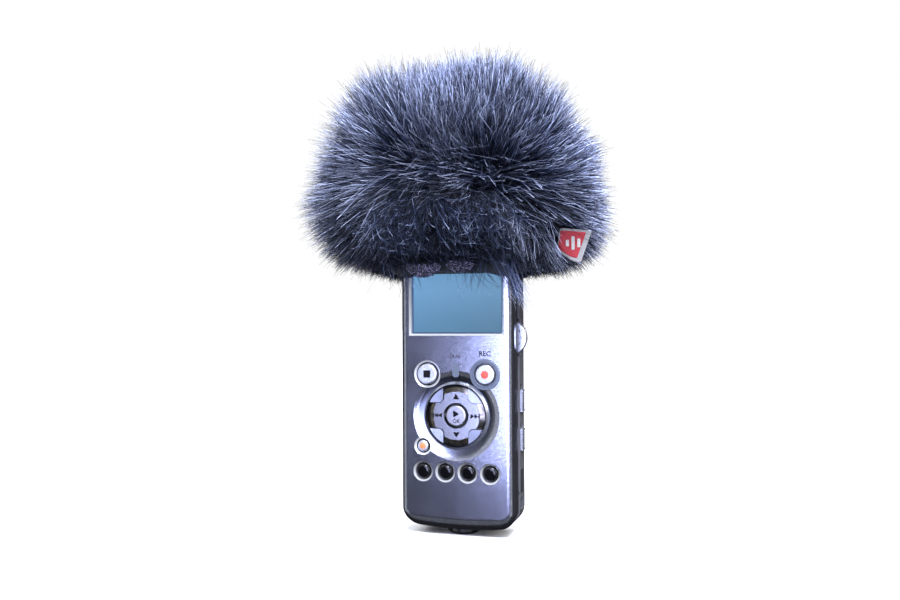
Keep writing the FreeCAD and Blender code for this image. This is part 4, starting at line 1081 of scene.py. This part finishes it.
def rounded_corners(outline, radius):
    """An outline in millimetres with each corner rounded off."""
    made, count, steps = [], len(outline), 5
    for i in range(count):
        before, at, after = (Vector(outline[(i + k) % count]) for k in (-1, 0, 1))
        start = at + (before - at).normalized() * radius
        end = at + (after - at).normalized() * radius
        for k in range(steps + 1):
            t = k / steps
            made.append(start * (1 - t) ** 2 + at * 2 * t * (1 - t) + end * t**2)
    return made


CURL = 0.012  # how fast the label bends back towards its sides


def label():
    """A woven label with a grey edge round a red field, and a plain mark of three bars."""
    place = Vector(centre("windshield_label"))
    turn = Matrix.Rotation(radians(LABEL_TURN), 4, "Z")

    def put(points, depth):
        return [place + turn @ Vector((x * MM, (depth + CURL * x * x) * MM, z * MM)) for x, z in points]

    grey = woven("label_edge", (0.42, 0.42, 0.45), 0.35)
    red = woven("label_field", (0.52, 0.012, 0.028), 0.3)
    white = woven("label_mark", (0.75, 0.75, 0.77), 0.3)

    def plate(name, outline, front, back, paint, radius):
        shape = rounded_corners(outline, radius)
        middle = sum(shape, Vector((0, 0))) / len(shape)
        rings = [[middle + (p - middle) * s for p in shape] for s in (0.5, 0.93, 1.0)]
        layers = [put(rings[0], front), put(rings[1], front), put(rings[2], front + 0.12),
                  put(rings[2], back - 0.1), put(rings[1], back)]
        verts = [v for layer in layers for v in layer]
        count = len(shape)
        faces = bands(len(layers), count, flip=True)
        faces.append(list(reversed(range(count))))
        faces.append([4 * count + i for i in range(count)])
        return piece(name, verts, faces, paint, "windshield")

    base = plate("label_base", LABEL_OUTLINE, -0.35, 0.35, grey, 0.9)
    middle = sum((Vector(p) for p in LABEL_OUTLINE), Vector((0, 0))) / 5
    field = [tuple(middle + (Vector(p) - middle) * 0.80 + Vector((-0.75, 0.55))) for p in LABEL_OUTLINE]
    plate("label_field", field, -0.50, -0.30, red, 0.6)
    for i, (x, half) in enumerate(((-2.6, 1.3), (-0.4, 2.6), (1.8, 1.7))):
        bar = [(x - 0.6, -half + 0.2), (x + 0.6, -half + 0.2), (x + 0.6, half + 0.2), (x - 0.6, half + 0.2)]
        plate(f"label_bar_{i + 1}", bar, -0.62, -0.46, white, 0.35)
    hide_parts("windshield_label")


label()

# ---- floor, light and camera


def floor():
    paint = Tree("floor_paint", 0.95, Base_Color=(0.93, 0.93, 0.94, 1), Specular_IOR_Level=0.0)
    mesh = bpy.data.meshes.new("floor")
    reach = 6.0
    mesh.from_pydata([(x * reach, y * reach, 0) for x, y in ((-1, -1), (1, -1), (1, 1), (-1, 1))], [],
                     [[0, 1, 2, 3]])
    mesh.materials.append(paint.mat)
    made = linked("floor", mesh)
    for ray in ("diffuse", "glossy", "shadow"):
        setattr(made, "visible_" + ray, False)


CEILING = 2.2


# name, place, where it points, width and height, watts, colour, and the kind of ray that doesn't see it
LIGHTS = (
    ("window_light", (0.097, -0.61, 0.145), (0.097, 0, 0.145), (0.44, 0.44), 8.8, (0.58, 0.63, 1.0), "diffuse"),
    # dim panels that only show in reflections, for views from the sides and from above
    ("left_wall", (-0.85, -0.62, 0.05), (0, 0, 0.10), (0.7, 1.2), 2.2, (0.92, 0.95, 1.0), "diffuse"),
    ("right_wall", (0.85, -0.62, 0.05), (0, 0, 0.10), (0.7, 1.2), 1.8, (0.92, 0.95, 1.0), "diffuse"),
    ("floor_glow", (0.0, -0.70, -0.75), (0, 0, 0.10), (1.6, 0.7), 0.7, (0.92, 0.95, 1.0), "diffuse"),
    ("high_light", (0.32, -0.60, 1.00), (0, 0, 0.14), (0.5, 0.4), 27, (0.86, 0.90, 1.0), "camera"),
    ("front_fill", (0.05, -0.80, 0.10), (0, 0, 0.10), (0.4, 0.4), 1.7, (0.85, 0.90, 1.0), "glossy"),
    ("side_light", (0.9, -0.28, 0.40), (0, 0, 0.12), (0.3, 0.4), 3.2, (1.0, 0.95, 0.92), "camera"),
    ("rim_light", (-0.6, 0.7, 0.7), (0, 0, 0.12), (0.5, 0.6), 4, (1, 1, 1), "camera"),
)


def studio():
    """A room with a bright ceiling and dim walls, and a window of light in front of the face."""
    world = bpy.data.worlds.new("studio")
    SCENE.world = world
    world.use_nodes = True
    t = Nodes(world.node_tree)
    height = t.span(t.node("ShaderNodeSeparateXYZ", {0: t.node("ShaderNodeTexCoord", out="Generated")}, out="Z"),
                    -1.0, 1.0)
    levels = ((0.0, 0.025), (0.47, 0.04), (0.54, 0.08), (0.72, 0.30), (0.82, CEILING), (1.0, CEILING))
    glow = t.ramp(height, *((at, shade((0.96, 0.98, 1.05), level)) for at, level in levels))
    seen = t.mix(t.node("ShaderNodeLightPath", out="Is Camera Ray"), glow, (1, 1, 1))
    t.feed(t.nt.nodes["Background"].inputs["Color"], seen)
    for name, place, aim, size, power, colour, unseen_by in LIGHTS:
        light = bpy.data.lights.new(name, "AREA")
        light.shape = "RECTANGLE"
        light.size, light.size_y = size
        light.energy = power
        light.color = colour
        made = linked(name, light)
        made.location = place
        made.rotation_euler = (Vector(aim) - Vector(place)).to_track_quat("-Z", "Y").to_euler()
        made.visible_camera = False
        setattr(made, "visible_" + unseen_by, False)
    SCENE.view_settings.view_transform = "Standard"


def camera():
    data = bpy.data.cameras.new("camera")
    data.sensor_width = 36.0
    data.lens = 34.0
    data.clip_start = 0.01
    made = linked("camera", data)
    turned = Matrix()
    for degrees, axis in ((17.6, "Z"), (91.2, "X"), (-0.3, "Z")):  # bearing, rise from straight down, and roll
        turned = turned @ Matrix.Rotation(radians(degrees), 4, axis)
    made.matrix_world = Matrix.Translation((0.103, -0.343, 0.0893)) @ turned
    SCENE.camera = made


floor()
studio()
camera()
